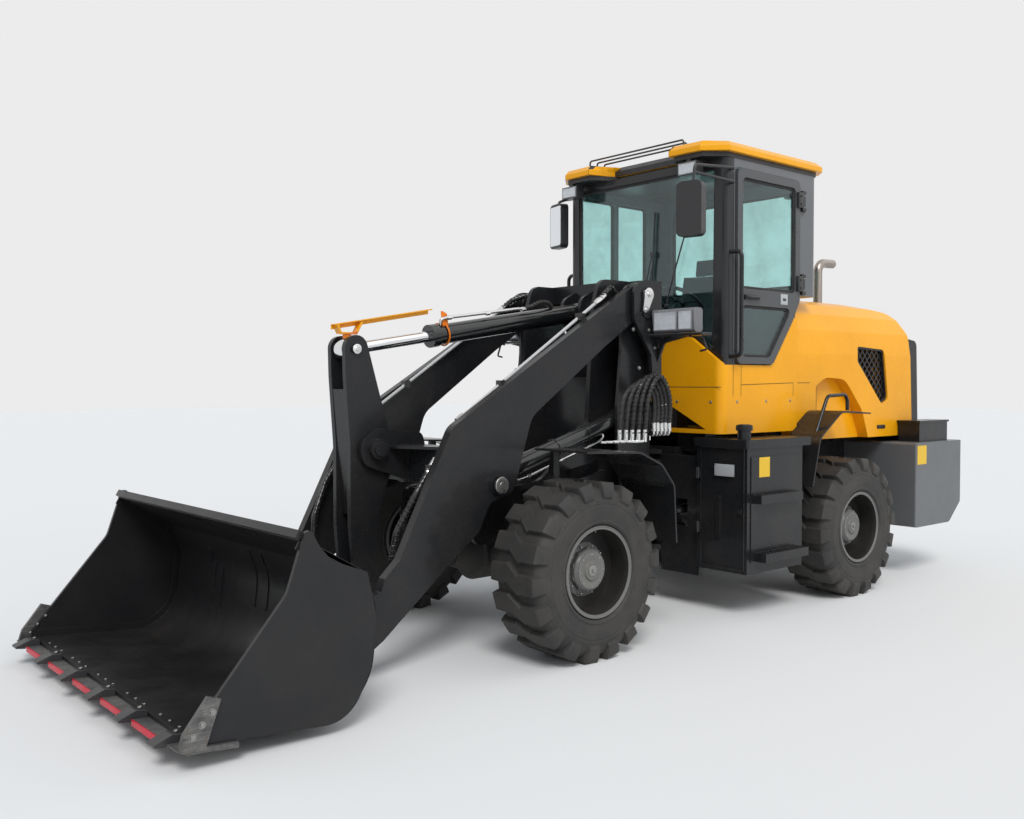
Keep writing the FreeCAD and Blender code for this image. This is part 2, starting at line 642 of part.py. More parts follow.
def cylinder_set(base, tip, y, barrel_r, rod_r, barrel_l, eye_w, push_in):
    """Barrel with a bore and a gland, and a rod with an eye; the rod can go in by push_in."""
    start = V(base[0], y, base[1])
    end = V(tip[0], y, tip[1])
    along = (end - start).normalize()
    wall_r = barrel_r - BARREL_WALL
    foot = barrel_r * 1.1
    tube = rod_between(start + along * (foot - 14), start + along * barrel_l, barrel_r)
    ring = rod_between(start + along * (barrel_l - 60), start + along * barrel_l, barrel_r + 9)
    port = rod_between(start + along * (barrel_l - 110),
                       start + along * (barrel_l - 110) + V(0, 0, barrel_r + 30),
                       16)
    bore = rod_between(start + along * (foot + 22), start + along * (barrel_l - 50), wall_r)
    guide = rod_between(start + along * foot, start + along * (barrel_l + 10), rod_r + PIN_FIT)
    eye = across(base[0], base[1], y - eye_w / 2, y + eye_w / 2, foot)
    barrel = fused([tube, ring, port, eye]).cut(bore).cut(guide)
    length = (end - start).Length
    bar = rod_between(start + along * (foot + 40 + push_in), end - along * (barrel_r * 0.7), rod_r)
    tip_eye = across(tip[0], tip[1], y - eye_w / 2, y + eye_w / 2, barrel_r * 0.98)
    neck = rod_between(start + along * (length - barrel_r * 1.45), end, min(rod_r + 8, eye_w / 2 - 0.5))
    return barrel, fused([bar, tip_eye, neck])


def lift_cylinders():
    """Left and right lift cylinders, each pair one node on one body."""
    barrel, rod = cylinder_set(LIFT_BASE, LIFT_PIN, LIFT_Y, LIFT_BARREL_R, LIFT_ROD_R, LIFT_BARREL_L, EYE_W,
                               LIFT_PUSH_IN)
    barrel = barrel.cut(across(*LIFT_BASE, 0, 2 * LIFT_Y, 30 + PIN_FIT))
    save("lift_barrels", pair(barrel))
    save("lift_rods", pair(rod))


def tilt_cylinder():
    """Central cylinder from the tower to the rocker's top."""
    barrel, rod = cylinder_set(TILT_BASE, ROCKER_TOP, 0, TILT_BARREL_R, TILT_ROD_R, TILT_BARREL_L, 90,
                               TILT_PUSH_IN)
    barrel = barrel.cut(across(*TILT_BASE, -ARM_Y, ARM_Y, 36 + PIN_FIT))
    save("tilt_barrel", barrel)
    save("tilt_rod", rod)


def level_bar():
    """Yellow angle bar that shows the bucket's angle, on a bracket over the rod's eye."""
    tx, tz = ROCKER_TOP
    top_r = TILT_BARREL_R * 0.98
    post = box((tx - 22, tx + 22), (-14, 14), (tz + top_r + SKIN_GAP, tz + 96))
    foot = box((tx - 62, tx + 62), (-20, 20), (tz + 92, tz + 104))
    left = plate([(tx - 50, tz + 100), (tx - 62, tz + 100), (tx - 100, tz + 168), (tx - 86, tz + 168)],
                 "y", -26, 26)
    right = plate([(tx + 50, tz + 100), (tx + 62, tz + 100), (tx + 84, tz + 150), (tx + 70, tz + 150)],
                  "y", -26, 26)
    bar_top = plate([(tx + 96, tz + 144), (tx + 96, tz + 150), (427, 2134), (427, 2126)], "y", -26, 26)
    bar_side = plate([(tx + 96, tz + 118), (tx + 96, tz + 150), (427, 2134), (427, 2102)], "y", -26, -20)
    return fused([post, foot, left, right, bar_top, bar_side])


def steering_cylinders():
    """One cylinder each side, in the horizontal plane between the frames."""
    bx, by = STEER_BASE
    fx, fy = STEER_FRONT
    start = V(bx, by, STEER_Z)
    end = V(fx, fy, STEER_Z)
    along = (end - start).normalize()
    half = EYE_W / 2
    tube = rod_between(start + along * 30, start + along * STEER_BARREL_L, STEER_BARREL_R)
    eye = upright(bx, by, STEER_Z - half, STEER_Z + half, 46)
    bore = rod_between(start + along * 62, start + along * (STEER_BARREL_L - 40), STEER_BARREL_R - 8)
    guide = rod_between(start + along * 62, start + along * (STEER_BARREL_L + 5), STEER_ROD_R + PIN_FIT)
    pin_hole = upright(bx, by, STEER_Z - 200, STEER_Z + 200, 22 + PIN_FIT)
    barrel = tube.fuse(eye).cut(bore).cut(guide).cut(pin_hole)
    rod = rod_between(start + along * 330, end - along * 20, STEER_ROD_R)
    tip = upright(fx, fy, STEER_Z - half, STEER_Z + half, 42)
    rod = rod.fuse(tip)
    for name, shape in (("steer_barrel", barrel), ("steer_rod", rod)):
        save(name + "_left", shape)
        save(name + "_right", mirrored(shape))


# Rear frame

def rear_frame():
    """Rails, the forked front end for the articulation pins, axle hangers and bracket plates."""
    sx, sy = STEER_BASE
    rails = box((CW_FRONT, RAIL_FRONT + 20), (RAIL_Y, RAIL_Y + RAIL_T), RAIL_Z)
    hanger = plate([(-WHEEL_BASE - 330, RAIL_Z[0] + 20), (-WHEEL_BASE + 330, RAIL_Z[0] + 20),
                    (-WHEEL_BASE + 230, 660, 60), (-WHEEL_BASE - 230, 660, 60)], "y", RAIL_Y, RAIL_Y + 150)
    post = box((BULK_X - 20, BULK_X + 12), (250, 610), (250, 1125))
    window = box((RAIL_FRONT - 10, BULK_X + 80), (275, 500), (600, 800))
    steer_seat = plate([(sx - 70, RAIL_Y), (sx + 70, RAIL_Y), (sx + 55, sy + 50, 40), (sx - 55, sy + 50, 40)],
                       "z", STEER_Z + STEER_BARREL_R + PIN_GAP, STEER_Z + STEER_BARREL_R + 34)
    steer_pin = upright(sx, sy, STEER_Z - EYE_W / 2 - 12, STEER_Z + STEER_BARREL_R + 10, 22)
    shelf = box((-2190, -1600), (RAIL_Y + RAIL_T - 5, TANK_Y[0] - SKIN_GAP), (1040, 1080))
    cab_mount = [box((x - 60, x + 60), (RAIL_Y, 590),
                     (RAIL_Z[1] - 30, CAB_LOW - SKIN_GAP)) for x in (-1700, -2430)]
    right = [rails, hanger, post, steer_seat, steer_pin, shelf] + cab_mount
    middle = [
        box((RAIL_FRONT, BULK_X), (-RAIL_Y - RAIL_T, RAIL_Y + RAIL_T), (400, 1180)),
        box((CW_FRONT, CW_FRONT + 60), (-RAIL_Y, RAIL_Y), RAIL_Z),
        box((-2240, -2190), (-RAIL_Y, RAIL_Y), (1060, 1180)),
    ]
    forks = []
    for z in (UPPER_LUG_Z, LOWER_LUG_Z):
        for step in (-1, 1):
            mid = z + step * (LUG_PLATE + PIN_GAP)
            low, high = mid - LUG_PLATE / 2, mid + LUG_PLATE / 2
            tongue = plate([(BULK_X, -240), (BULK_X, 240), (PIVOT_X + 20, 80, 40), (PIVOT_X + 20, -80, 40)],
                           "z", low, high)
            forks.append(tongue.fuse(upright(PIVOT_X, 0, low, high, 92)))
        forks.append(upright(PIVOT_X, 0, z - 78, z + 78, PIVOT_PIN_R))
    body = fused(middle + both_sides(right) + forks)
    return body.cut(window).cut(mirrored(window))


def engine():
    """Engine with the gearbox in front, as plain blocks between the rails."""
    block = box((-3790, -3080), (-300, 300), (840, ENGINE_TOP))
    gearbox = plate([(-3090, 850, 0), (-3090, 1250, 60), (-2560, 1180, 60), (-2300, 1000, 60),
                     (-2300, 520, 60),
                     (-2500, 520, 60), (-2540, 850, 60)], "y", -220, 220)
    feet = [box((x, x + 90), (-RAIL_Y + SKIN_GAP, RAIL_Y - SKIN_GAP), (900, 960)) for x in (-3700, -3200)]
    feet += [box((-2700, -2610), (-RAIL_Y + SKIN_GAP, RAIL_Y - SKIN_GAP), (960, 1020))]
    return fused([block, gearbox] + feet)


def counterweight():
    """Cast block with a chamfered foot and a tow slot with a vertical pin bore."""
    low, high = CW_Z
    rear = -REAR_REACH
    block = plate([(CW_FRONT, low + 0, 20), (rear + 240, low, 60), (rear, low + 200, 60), (rear, high, 25),
                   (CW_FRONT, high, 20)], "y", -CW_HALF, CW_HALF)
    plan = plate([(CW_FRONT, -CW_HALF, 10), (CW_FRONT, CW_HALF, 10), (rear, CW_HALF, 45),
                  (rear, -CW_HALF, 45)],
                 "z", low, high)
    block = block.common(plan)
    slot = box((rear - 10, rear + 150), (-110, 110), (780, 860))
    bore = upright(rear + 70, 0, 700, 940, TOW_R)
    pocket = plate([(rear - 10, -160), (rear + 150, -160), (rear + 150, 160), (rear - 10, 160)], "z", 940,
                   1200)
    return block.cut(slot).cut(bore).cut(pocket)


def battery_boxes():
    """Battery boxes on the counterweight's wings, beside the radiator."""
    body = box((-4560, -4060), (HOOD_HALF + 12, 985), (CW_Z[1] + SKIN_GAP, CW_Z[1] + 165))
    lid = box((-4572, -4048), (HOOD_HALF + 4, 995), (CW_Z[1] + 165, CW_Z[1] + 183))
    return pair(fused([body, lid]))


def tank_boxes():
    """Tank and battery lockers between the wheels, with overhanging lids."""
    body = box(TANK_X, TANK_Y, TANK_Z)
    lid = plate([(TANK_X[0] - 90, TANK_Y[0] - 14), (TANK_X[0] - 90, TANK_Y[1] + 14),
                 (TANK_X[1] + 16, TANK_Y[1] + 14, 20),
                 (TANK_X[1] + 16, TANK_Y[0] - 14)], "z", TANK_Z[1], TANK_Z[1] + LID_T)
    cap = upright(-1620, 950, TANK_Z[1] + LID_T, TANK_Z[1] + LID_T + 70, 48)
    cap_top = upright(-1620, 950, TANK_Z[1] + LID_T + 60, TANK_Z[1] + LID_T + 100, 56)
    hinges = [upright(TANK_X[1] + 8, 640, z - 34, z + 34, 11) for z in (1010, 620)]
    gauge = box((TANK_X[1], TANK_X[1] + 14), (790, 826), (560, 860))
    return pair(fused([body, lid, cap, cap_top, gauge] + hinges))


def steps():
    """Two treads and their kick plates on each side."""
    face = TANK_Y[1] + SKIN_GAP
    # Columns: x rear, x front, z low, z high, y outer
    rows = [(-2085, -1580, 816, 875, 1128), (-2125, -1605, 407, 468, 1150)]
    treads = [box((a, b), (face, out), (low, high)) for a, b, low, high, out in rows]
    kicks = [box((-2110, -1560), (face, face + 6), (875, 1140)),
             box((-2110, -1560), (face, face + 6), (468, 816))]
    lower_kick = box((-2110, -1560), (face, face + 6), (400, 468))
    return pair(fused(treads + kicks + [lower_kick]))


def rear_fenders():
    """Bent plates over the rear tyres with a tube handrail on each."""
    path = [(-2280, 890), (-2375, 1250, 130), (-2680, 1448, 170), (-3090, 1425)]
    sheet = plate(strip(path, -12), "y", HOOD_HALF + SKIN_GAP, 1082)
    sheet = sheet.cut(box((HOOD_FRONT - 4, -2200), (HOOD_HALF - 5, CAB_HALF + SKIN_GAP), (800, 1500)))
    rail = pipe([(-2880, 1000, 1445), (-2880, 1000, 1570), (-2600, 1000, 1560), (-2395, 1000, 1190)], 14, 60)
    return pair(fused([sheet, rail]))


# Hood and cab

def hood_form(inset):
    """Hood outline: the side view crossed with the end view."""
    front = HOOD_FRONT + (10 if inset else 0)
    low = HOOD_LOW - (10 if inset else 0)
    top = HOOD_TOP - (40 if inset else 0)
    back = inset / 3
    side = plate([(front, low), (front, top - 40, 0), (front - 240, top, 120), (-3500, top, 800),
                  (-4080, top - 60, 260), (HOOD_REAR + back + 20, 2085, 130), (HOOD_REAR + back - 30, low)],
                 "y", -HOOD_HALF, HOOD_HALF)
    # Shoulder of the end view: distance in from the side, distance down from the top
    shoulder = [(0, 440), (22, 250), (62, 120), (130, 36), (230, 0)]
    half = HOOD_HALF - inset
    right = [(half - a, top - b) for a, b in shoulder]
    ends = plate([(-half, low), (half, low)] + right + [(-y, z) for y, z in right[::-1]], "x",
                 HOOD_REAR - 100, front + 20)
    return side.common(ends)


GRILLE = [(-3410, 1965, 30), (-3830, 1945, 40), (-3900, 1520, 40), (-3790, 1480, 40), (-3400, 1840, 40)]


def hood():
    """Hollow engine cover with wheel-arch recesses and side grille openings."""
    shell = hood_form(0).cut(hood_form(HOOD_WALL))
    arch = plate([(-2790, 1190), (-2790, 1640, 60), (-2930, 1702, 160), (-3210, 1690, 200),
                  (-3480, 1430, 260),
                  (-3580, 1190)], "y", HOOD_HALF - 95, HOOD_HALF + 20)
    opening = plate(GRILLE, "y", HOOD_HALF - HOOD_WALL - 30, HOOD_HALF + 20)
    stack = upright(STACK_X, STACK_Y, HOOD_TOP - 300, HOOD_TOP + 50, STACK_R + 12)
    return shell.cut(Part.makeCompound([arch, opening, mirrored(arch), mirrored(opening), stack]))


def hood_grilles():
    """Diamond lattice in a rim behind each side opening."""
    back = HOOD_HALF - 34
    deep = HOOD_HALF - 46
    solid = plate(GRILLE, "y", deep, back + 22)
    shrunk = solid.copy()
    middle = V(-3640, 0, 1740)
    shrink = FreeCAD.Matrix()
    shrink.move(V(-middle.x, 0, -middle.z))
    shrink.scale(V(0.93, 1, 0.93))
    shrink.move(V(middle.x, 0, middle.z))
    inner = shrunk.transformGeometry(shrink)
    ring_cut = inner.copy()
    bars = []
    for i in range(-7, 8):
        for lean in (-1, 1):
            start = V(middle.x + i * 74 - lean * 330, back - 4, 1740 - 330)
            end = V(middle.x + i * 74 + lean * 330, back - 4, 1740 + 330)
            direction = (end - start).normalize()
            side = V(-direction.z, 0, direction.x) * 6
            bars.append(plate([(p.x, p.z) for p in (start + side, end + side, end - side, start - side)], "y",
                              deep + 2, back + 4))
    rim_ring = plate(GRILLE, "y", deep, back + 20).cut(ring_cut)
    lattice = bars[0].multiFuse(bars[1:]).common(inner)
    return pair(fused([rim_ring, lattice]))


def radiator_guard():
    """Radiator box behind the hood with a barred opening."""
    front = HOOD_REAR - 30 - SKIN_GAP
    low = CW_Z[1] + SKIN_GAP
    back = front - 300
    shell = plate([(front, low), (front, 2070, 30), (back + 40, 2040, 60), (back, low)], "y", -680, 680)
    hollow = box((back - 20, back + 60), (-590, 590), (1250, 1950))
    bars = [box((back + 20, back + 36), (-592, 592), (z, z + 16)) for z in range(1300, 1940, 70)]
    posts = [box((back + 16, back + 52), (y - 12, y + 12), (1248, 1952)) for y in (-200, 200)]
    return fused([shell.cut(hollow)] + bars + posts)


def exhaust():
    """Upright stack with a bend to the rear."""
    return pipe([(STACK_X, STACK_Y, ENGINE_TOP + SKIN_GAP), (STACK_X, STACK_Y, 2715), (-3800, STACK_Y, 2722)],
                STACK_R, 90)


COWL_TOP = [(0, 1975), (300, 1985), (500, 2000, 90), (715, 1850, 120), (CAB_HALF, SILL_Z + 2)]


def cab_base():
    """Lower cab body: floor, side panels, front cowl and the panels behind the door's slant."""
    low = CAB_LOW
    front = CAB_FRONT + 40
    side = plate([(front, low + 0), (front, SILL_Z), (DOOR_REAR + 345, SILL_Z, 60),
                  (DOOR_REAR + 92, 2125, 60),
                  (DOOR_REAR + 8, 2270, 40), (DOOR_REAR + 8, low)], "y", CAB_HALF - 40, CAB_HALF)
    floor = box((DOOR_REAR + 8, front), (-CAB_HALF + 10, CAB_HALF - 10), (low, low + 30))
    back = box((DOOR_REAR + 8, DOOR_REAR + 48), (-CAB_HALF + 10, CAB_HALF - 10), (low, SILL_Z))
    top = [(y, z, r[0] if r else 0) for y, z, *r in COWL_TOP]
    mirror_top = [(-y, z, r[0] if r else 0) for y, z, *r in COWL_TOP[:0:-1]]
    cowl = plate(top + [(CAB_HALF, low + 10, 40), (715, low, 60), (330, 1486, 80), (-330, 1486, 80),
                        (-715, low, 60), (-CAB_HALF, low + 10, 40)] + mirror_top, "x", front - 38, front)
    rounded = plate([(front, -CAB_HALF, 70), (front, CAB_HALF, 70), (DOOR_REAR - 300, CAB_HALF),
                     (DOOR_REAR - 300, -CAB_HALF)], "z", 0, 4000)
    body = fused([floor, back, cowl] + both_sides([side]))
    notch = plate([(-330, low - 10), (-330, 1486), (330, 1486), (330, low - 10)], "x", front - 60, front + 10)
    return body.common(rounded).cut(notch)


def cab_frame():
    """Posts, beams and rear panels of the cab, with every window cut through."""
    outer = plate([(CAB_FRONT, -CAB_HALF, 50), (CAB_FRONT, CAB_HALF, 50), (CAB_REAR, CAB_HALF, 60),
                   (CAB_REAR, -CAB_HALF, 60)], "z", SILL_Z + SKIN_GAP, CAB_TOP)
    inner = box((CAB_REAR + CAB_WALL, CAB_FRONT - CAB_WALL), (-CAB_HALF + CAB_WALL, CAB_HALF - CAB_WALL),
                (SILL_Z - 10, CAB_TOP + 10))
    shell = outer.cut(inner)
    front_window = plate([(-690, 1880, 0), (-520, 2030, 60), (520, 2030, 60), (690, 1880, 0),
                          (700, DOOR_TOP, 40),
                          (-700, DOOR_TOP, 40)], "x", CAB_FRONT - CAB_WALL - 20, CAB_FRONT + 20)
    low_front = plate([(-900, 1500), (900, 1500), (900, 1792), (715, 1862), (500, 2012), (-500, 2012),
                       (-715, 1862),
                       (-900, 1792)], "x", CAB_FRONT - 6, CAB_FRONT + 20)
    door_cut = plate([(DOOR_FRONT, SILL_Z - 20), (DOOR_FRONT, DOOR_TOP, 30), (DOOR_REAR, DOOR_TOP, 30),
                      (DOOR_REAR, 2150), (DOOR_REAR, SILL_Z - 20)], "y", CAB_HALF - CAB_WALL - 20,
                     CAB_HALF + 20)
    right_windows = [plate([(a, z, 40), (a, DOOR_TOP - 10, 40), (b, DOOR_TOP - 10, 40), (b, z, 40)], "y",
                           -CAB_HALF - 20, -CAB_HALF + CAB_WALL + 20)
                     for a, b, z in ((-1700, -2090, 1860), (-2130, -2500, 2190))]
    rear_window = plate([(-640, 2420, 60), (640, 2420, 60), (640, 3180, 60), (-640, 3180, 60)], "x",
                        CAB_REAR - 20, CAB_REAR + CAB_WALL + 20)
    over_base = plate([(DOOR_REAR + 20, SILL_Z - 20), (DOOR_REAR + 20, SILL_Z + SKIN_GAP),
                       (CAB_FRONT + 50, SILL_Z + SKIN_GAP),
                       (CAB_FRONT + 50, SILL_Z - 20)], "y", -900, 900)
    right_base = plate([(DOOR_REAR + 500, SILL_Z - 20), (DOOR_REAR + 500, SILL_Z + SKIN_GAP),
                        (DOOR_REAR + 346, SILL_Z + SKIN_GAP, 60),
                        (DOOR_REAR + 93, 2126, 60), (DOOR_REAR + 6, 2273, 40),
                        (DOOR_REAR + 6, SILL_Z - 20)], "y", -CAB_HALF - 20, -CAB_HALF + CAB_WALL + 2)
    hood_cut = box((CAB_REAR - 20, HOOD_FRONT + 8), (-HOOD_HALF - 40, HOOD_HALF + 40),
                   (SILL_Z - 20, HOOD_TOP + 4))
    return shell.cut(Part.makeCompound([front_window, low_front, door_cut, rear_window, over_base, right_base,
                                        hood_cut] + right_windows))


def rear_wall_low():
    """Inner wall and shelf between the cab and the engine bay."""
    top = HOOD_TOP + 4
    wall = box((DOOR_REAR - 6, DOOR_REAR + 6), (-CAB_HALF + 30, CAB_HALF - 30), (SILL_Z, top + 12))
    shelf = box((CAB_REAR + 20, DOOR_REAR + 6), (-CAB_HALF + 30, CAB_HALF - 30), (top, top + 12))
    return [wall, shelf]


def cab_glass():
    """Fixed panes, each seated in its window with a small gap."""
    g = SKIN_GAP
    wind = plate([(-690 + g, 1884, 0), (-520, 2030 + g, 60), (520, 2030 + g, 60), (690 - g, 1884, 0),
                  (700 - g, DOOR_TOP - g, 40), (-700 + g, DOOR_TOP - g, 40)], "x", CAB_FRONT - 24,
                 CAB_FRONT - 24 + GLASS_T)
    right = [plate([(a - g, z + g, 40), (a - g, DOOR_TOP - 10 - g, 40), (b + g, DOOR_TOP - 10 - g, 40),
                    (b + g, z + g, 40)],
                   "y", -CAB_HALF + 16, -CAB_HALF + 16 + GLASS_T)
             for a, b, z in ((-1700, -2090, 1860), (-2130, -2500, 2190))]
    rear = plate([(-640 + g, 2420 + g, 60), (640 - g, 2420 + g, 60), (640 - g, 3180 - g, 60),
                  (-640 + g, 3180 - g, 60)],
                 "x", CAB_REAR + 16, CAB_REAR + 16 + GLASS_T)
    return Part.makeCompound([wind, rear] + right)


def roof_plan(inset):
    """Roof outline with two front lobes and a notch between them."""
    half = ROOF_HALF - inset
    front = -1425 - inset
    rear = -2850 + inset
    right = [(-1665 - inset, 0), (-1665 - inset, 350 - inset), (front, 410 + inset * 0.6), (front - 10, 690),
             (front - 160, half), (rear + 90, half), (rear, half - 90)]
    return right + [(x, -y) for x, y in right[:0:-1]]


def cab_roof():
    """Roof skin with bevelled edges and a lifting eye."""
    lower = plate(roof_plan(0), "z", ROOF_Z, ROOF_Z + ROOF_T * 0.5)
    bevel = Part.makeLoft([wire(roof_plan(0), "z", ROOF_Z + ROOF_T * 0.5),
                           wire(roof_plan(38), "z", ROOF_Z + ROOF_T)],
                          True, True)
    eye = plate([(-2640, ROOF_Z + 60), (-2580, ROOF_Z + 60), (-2580, ROOF_Z + 122, 28),
                 (-2640, ROOF_Z + 122, 28)],
                "y", 592, 608)
    hole = across(-2610, ROOF_Z + 96, 580, 620, 13)
    return fused([lower, bevel] + both_sides([eye.cut(hole)]))


def roof_liner():
    """Underside of the roof and the soffits of the lobes."""
    return plate(roof_plan(34), "z", CAB_TOP, ROOF_Z)


def roof_rails():
    """Three thin rails across the notch between the roof lobes."""
    top = ROOF_Z + ROOF_T
    rails = []
    # Columns: x, height over the roof, half length
    for x, rise, reach in ((-1510, 50, 480), (-1570, 42, 460), (-1630, 34, 440)):
        rails.append(pipe([(x, -reach, top + SKIN_GAP), (x, -reach, top + rise), (x, reach, top + rise),
                           (x, reach, top + SKIN_GAP)], 7, 20))
    return Part.makeCompound(rails)


def door():
    """Rear-hinged door frame with two panes."""
    y0 = CAB_HALF - DOOR_T + 20
    y1 = CAB_HALF + 20
    g = DOOR_GAP
    front, rear, top = DOOR_FRONT - g, DOOR_REAR + g, DOOR_TOP - g
    low = SILL_Z + g
    frame = plate([(front, low, 50), (front, top, 50), (rear, top, 50), (rear, 2290, 30),
                   (rear + 91, 2134, 60),
                   (rear + 346, low, 60)], "y", y0, y1)
    upper = plate([(front - 60, 2345, 40), (front - 60, top - 60, 40), (rear + 60, top - 60, 40),
                   (rear + 60, 2345, 40)],
                  "y", y0 - 20, y1 + 20)
    lower = plate([(front - 60, low + 50, 40), (front - 60, 2225, 40), (rear + 120, 2225, 30),
                   (rear + 150, 2160, 50),
                   (rear + 385, low + 50, 60)], "y", y0 - 20, y1 + 20)
    frame = frame.cut(Part.makeCompound([upper, lower]))
    handle = box((front - 190, front - 70), (y1, y1 + 22), (2270, 2296))
    barrels = []
    for z in (3060, 2420):
        barrels.append(fused([upright(HINGE_X, HINGE_Y, z - 50, z + 50, 13),
                              box((HINGE_X, rear + 40), (y1 - 2, y1 + 10), (z - 44, z + 44))]))
    body = fused([frame, handle] + barrels)
    for z in (3060, 2420):
        body = body.cut(upright(HINGE_X, HINGE_Y, z - 60, z + 60, 6 + PIN_FIT))
    save("door_frame", body)
    mid = (y0 + y1) / 2
    s = SKIN_GAP
    pane_up = plate([(front - 60 - s, 2345 + s, 40), (front - 60 - s, top - 60 - s, 40),
                     (rear + 60 + s, top - 60 - s, 40),
                     (rear + 60 + s, 2345 + s, 40)], "y", mid - 4, mid + 4)
    pane_low = plate([(front - 60 - s, low + 50 + s, 40), (front - 60 - s, 2225 - s, 40),
                      (rear + 120 + s, 2225 - s, 30),
                      (rear + 150 + s, 2160 + s, 50), (rear + 385 + s, low + 50 + s, 60)], "y", mid - 4,
                     mid + 4)
    save("door_glass", Part.makeCompound([pane_up, pane_low]))


def door_pins():
    """Fixed halves of the door hinges on the rear post."""
    pins = []
    for z in (3060, 2420):
        leaf = box((HINGE_X - 60, HINGE_X - 16), (CAB_HALF, CAB_HALF + 12), (z - 80, z + 80))
        arms = [box((HINGE_X - 40, HINGE_X + 8), (CAB_HALF, HINGE_Y + 8), (at, at + 22))
                for at in (z - 76, z + 54)]
        pin = upright(HINGE_X, HINGE_Y, z - 76, z + 76, 6)
        pins.append(fused([leaf, pin] + arms))
    return pins


def seat():
    """Cushion, backrest and pedestal."""
    profile = [(-2330, 1780, 30), (-2330, 1640), (-2060, 1640), (-2060, 1780), (-1980, 1790, 40),
               (-1970, 1900, 50),
               (-2290, 1890, 60), (-2400, 2680, 50), (-2510, 2680, 50), (-2440, 1780, 60)]
    cushion = plate(profile, "y", -250, 250)
    pedestal = box((-2300, -2090), (-180, 180), (CAB_LOW + 30 + SKIN_GAP, 1650))
    return fused([cushion, pedestal])


def console():
    """Dashboard behind the windscreen with the steering column and the lever box."""
    dash = plate([(-1660, CAB_LOW + 30 + SKIN_GAP), (-1660, 2000, 40), (-1770, 2040, 60),
                  (-1860, 1960, 60), (-1790, 1700, 60),
                  (-1790, CAB_LOW + 30 + SKIN_GAP)], "y", -300, 300)
    column = rod_between(V(-1800, 0, 1960), V(-2035, 0, 2290), 34)
    levers = box((-2420, -2120), (-520, -330), (CAB_LOW + 30 + SKIN_GAP, 1960))
    sticks = [rod_between(V(x, -420, 1950), V(x + 30, -420, 2130), 14) for x in (-2180, -2280)]
    return fused([dash, column]), fused([levers] + sticks)


def steering_wheel():
    """Rim, three spokes and a hub on the column's end."""
    ring = Part.makeTorus(190, 15, V(0, 0, 0), V(0, 0, 1))
    hub = Part.makeCylinder(48, 40, V(0, 0, -20), V(0, 0, 1))
    spokes = []
    for angle in (90, 210, 330):
        reach = V(math.cos(math.radians(angle)) * 190, math.sin(math.radians(angle)) * 190, 0)
        spokes.append(rod_between(V(0, 0, 0), reach, 10))
    wheel = fused([ring, hub] + spokes)
    column = V(-2035, 0, 2290) - V(-1800, 0, 1960)
    wheel.Placement = FreeCAD.Placement(V(-2035, 0, 2290) + column.normalize() * (20 + SKIN_GAP),
                                        FreeCAD.Rotation(V(0, 0, 1), column))
    return wheel


def mirrors():
    """Mirror housings on tube arms; the left arm reaches forward, the right one sideways."""
    post = CAB_HALF + SKIN_GAP
    left_arm = pipe([(-1640, post, 3190), (-1640, 846, 3190), (-1190, 846, 3150), (-1150, 846, 2900)], 11, 30)
    left_low = pipe([(-1640, post, 3090), (-1640, 846, 3090), (-1182, 846, 3098)], 11, 30)
    left = plate([(-95, 2655, 40), (-95, 3030, 40), (95, 3030, 40), (95, 2655, 40)], "x", -35, 35)
    left.rotate(V(0, 0, 0), V(0, 0, 1), 12)
    left.translate(V(-1150, 846, 0))
    right_arm = pipe([(-1640, -post, 3200), (-1640, -CAB_HALF - 120, 3200), (-1590, -CAB_HALF - 125, 3180),
                      (-1590, -CAB_HALF - 125, 3000)], 11, 14)
    right = plate([(-95, 2790, 40), (-95, 3160, 40), (95, 3160, 40), (95, 2790, 40)], "x", -35, 35)
    right.rotate(V(0, 0, 0), V(0, 0, 1), -14)
    right.translate(V(-1590, -CAB_HALF - 125, 0))
    return Part.makeCompound([fused([left_arm, left_low, left]), fused([right_arm, right])])


def work_lights():
    """Roof lamps under the lobes and at the rear."""
    lamps = []
    for x, y in ((-1490, 560), (-1490, -660)):
        body = box((x - 40, x + 36), (y - 86, y + 86), (CAB_TOP - 118, CAB_TOP - 22))
        stem = box((x - 20, x + 20), (y - 20, y + 20), (CAB_TOP - 24, CAB_TOP - SKIN_GAP))
        lamps.append(fused([body, stem]))
    for y in (-560, 560):
        body = box((CAB_REAR - 70, CAB_REAR - 10), (y - 70, y + 70), (3150, 3240))
        stem = box((CAB_REAR - 40, CAB_REAR - SKIN_GAP), (y - 15, y + 15), (3230, 3268))
        lamps.append(fused([body, stem]))
    return Part.makeCompound(lamps)


def grab_rails():
    """Bent rails on the cab's front posts."""
    left = pipe([(-1655, CAB_HALF + SKIN_GAP, 2600), (-1655, CAB_HALF + 95, 2600),
                 (-1655, CAB_HALF + 95, 1850),
                 (-1655, CAB_HALF + SKIN_GAP, 1850)], 15, 45)
    right = mirrored(pipe([(-1655, CAB_HALF + SKIN_GAP, 2560), (-1655, CAB_HALF + 75, 2560),
                           (-1655, CAB_HALF + 75, 2060),
                           (-1655, CAB_HALF + SKIN_GAP, 2060)], 15, 45))
    return Part.makeCompound([left, right])


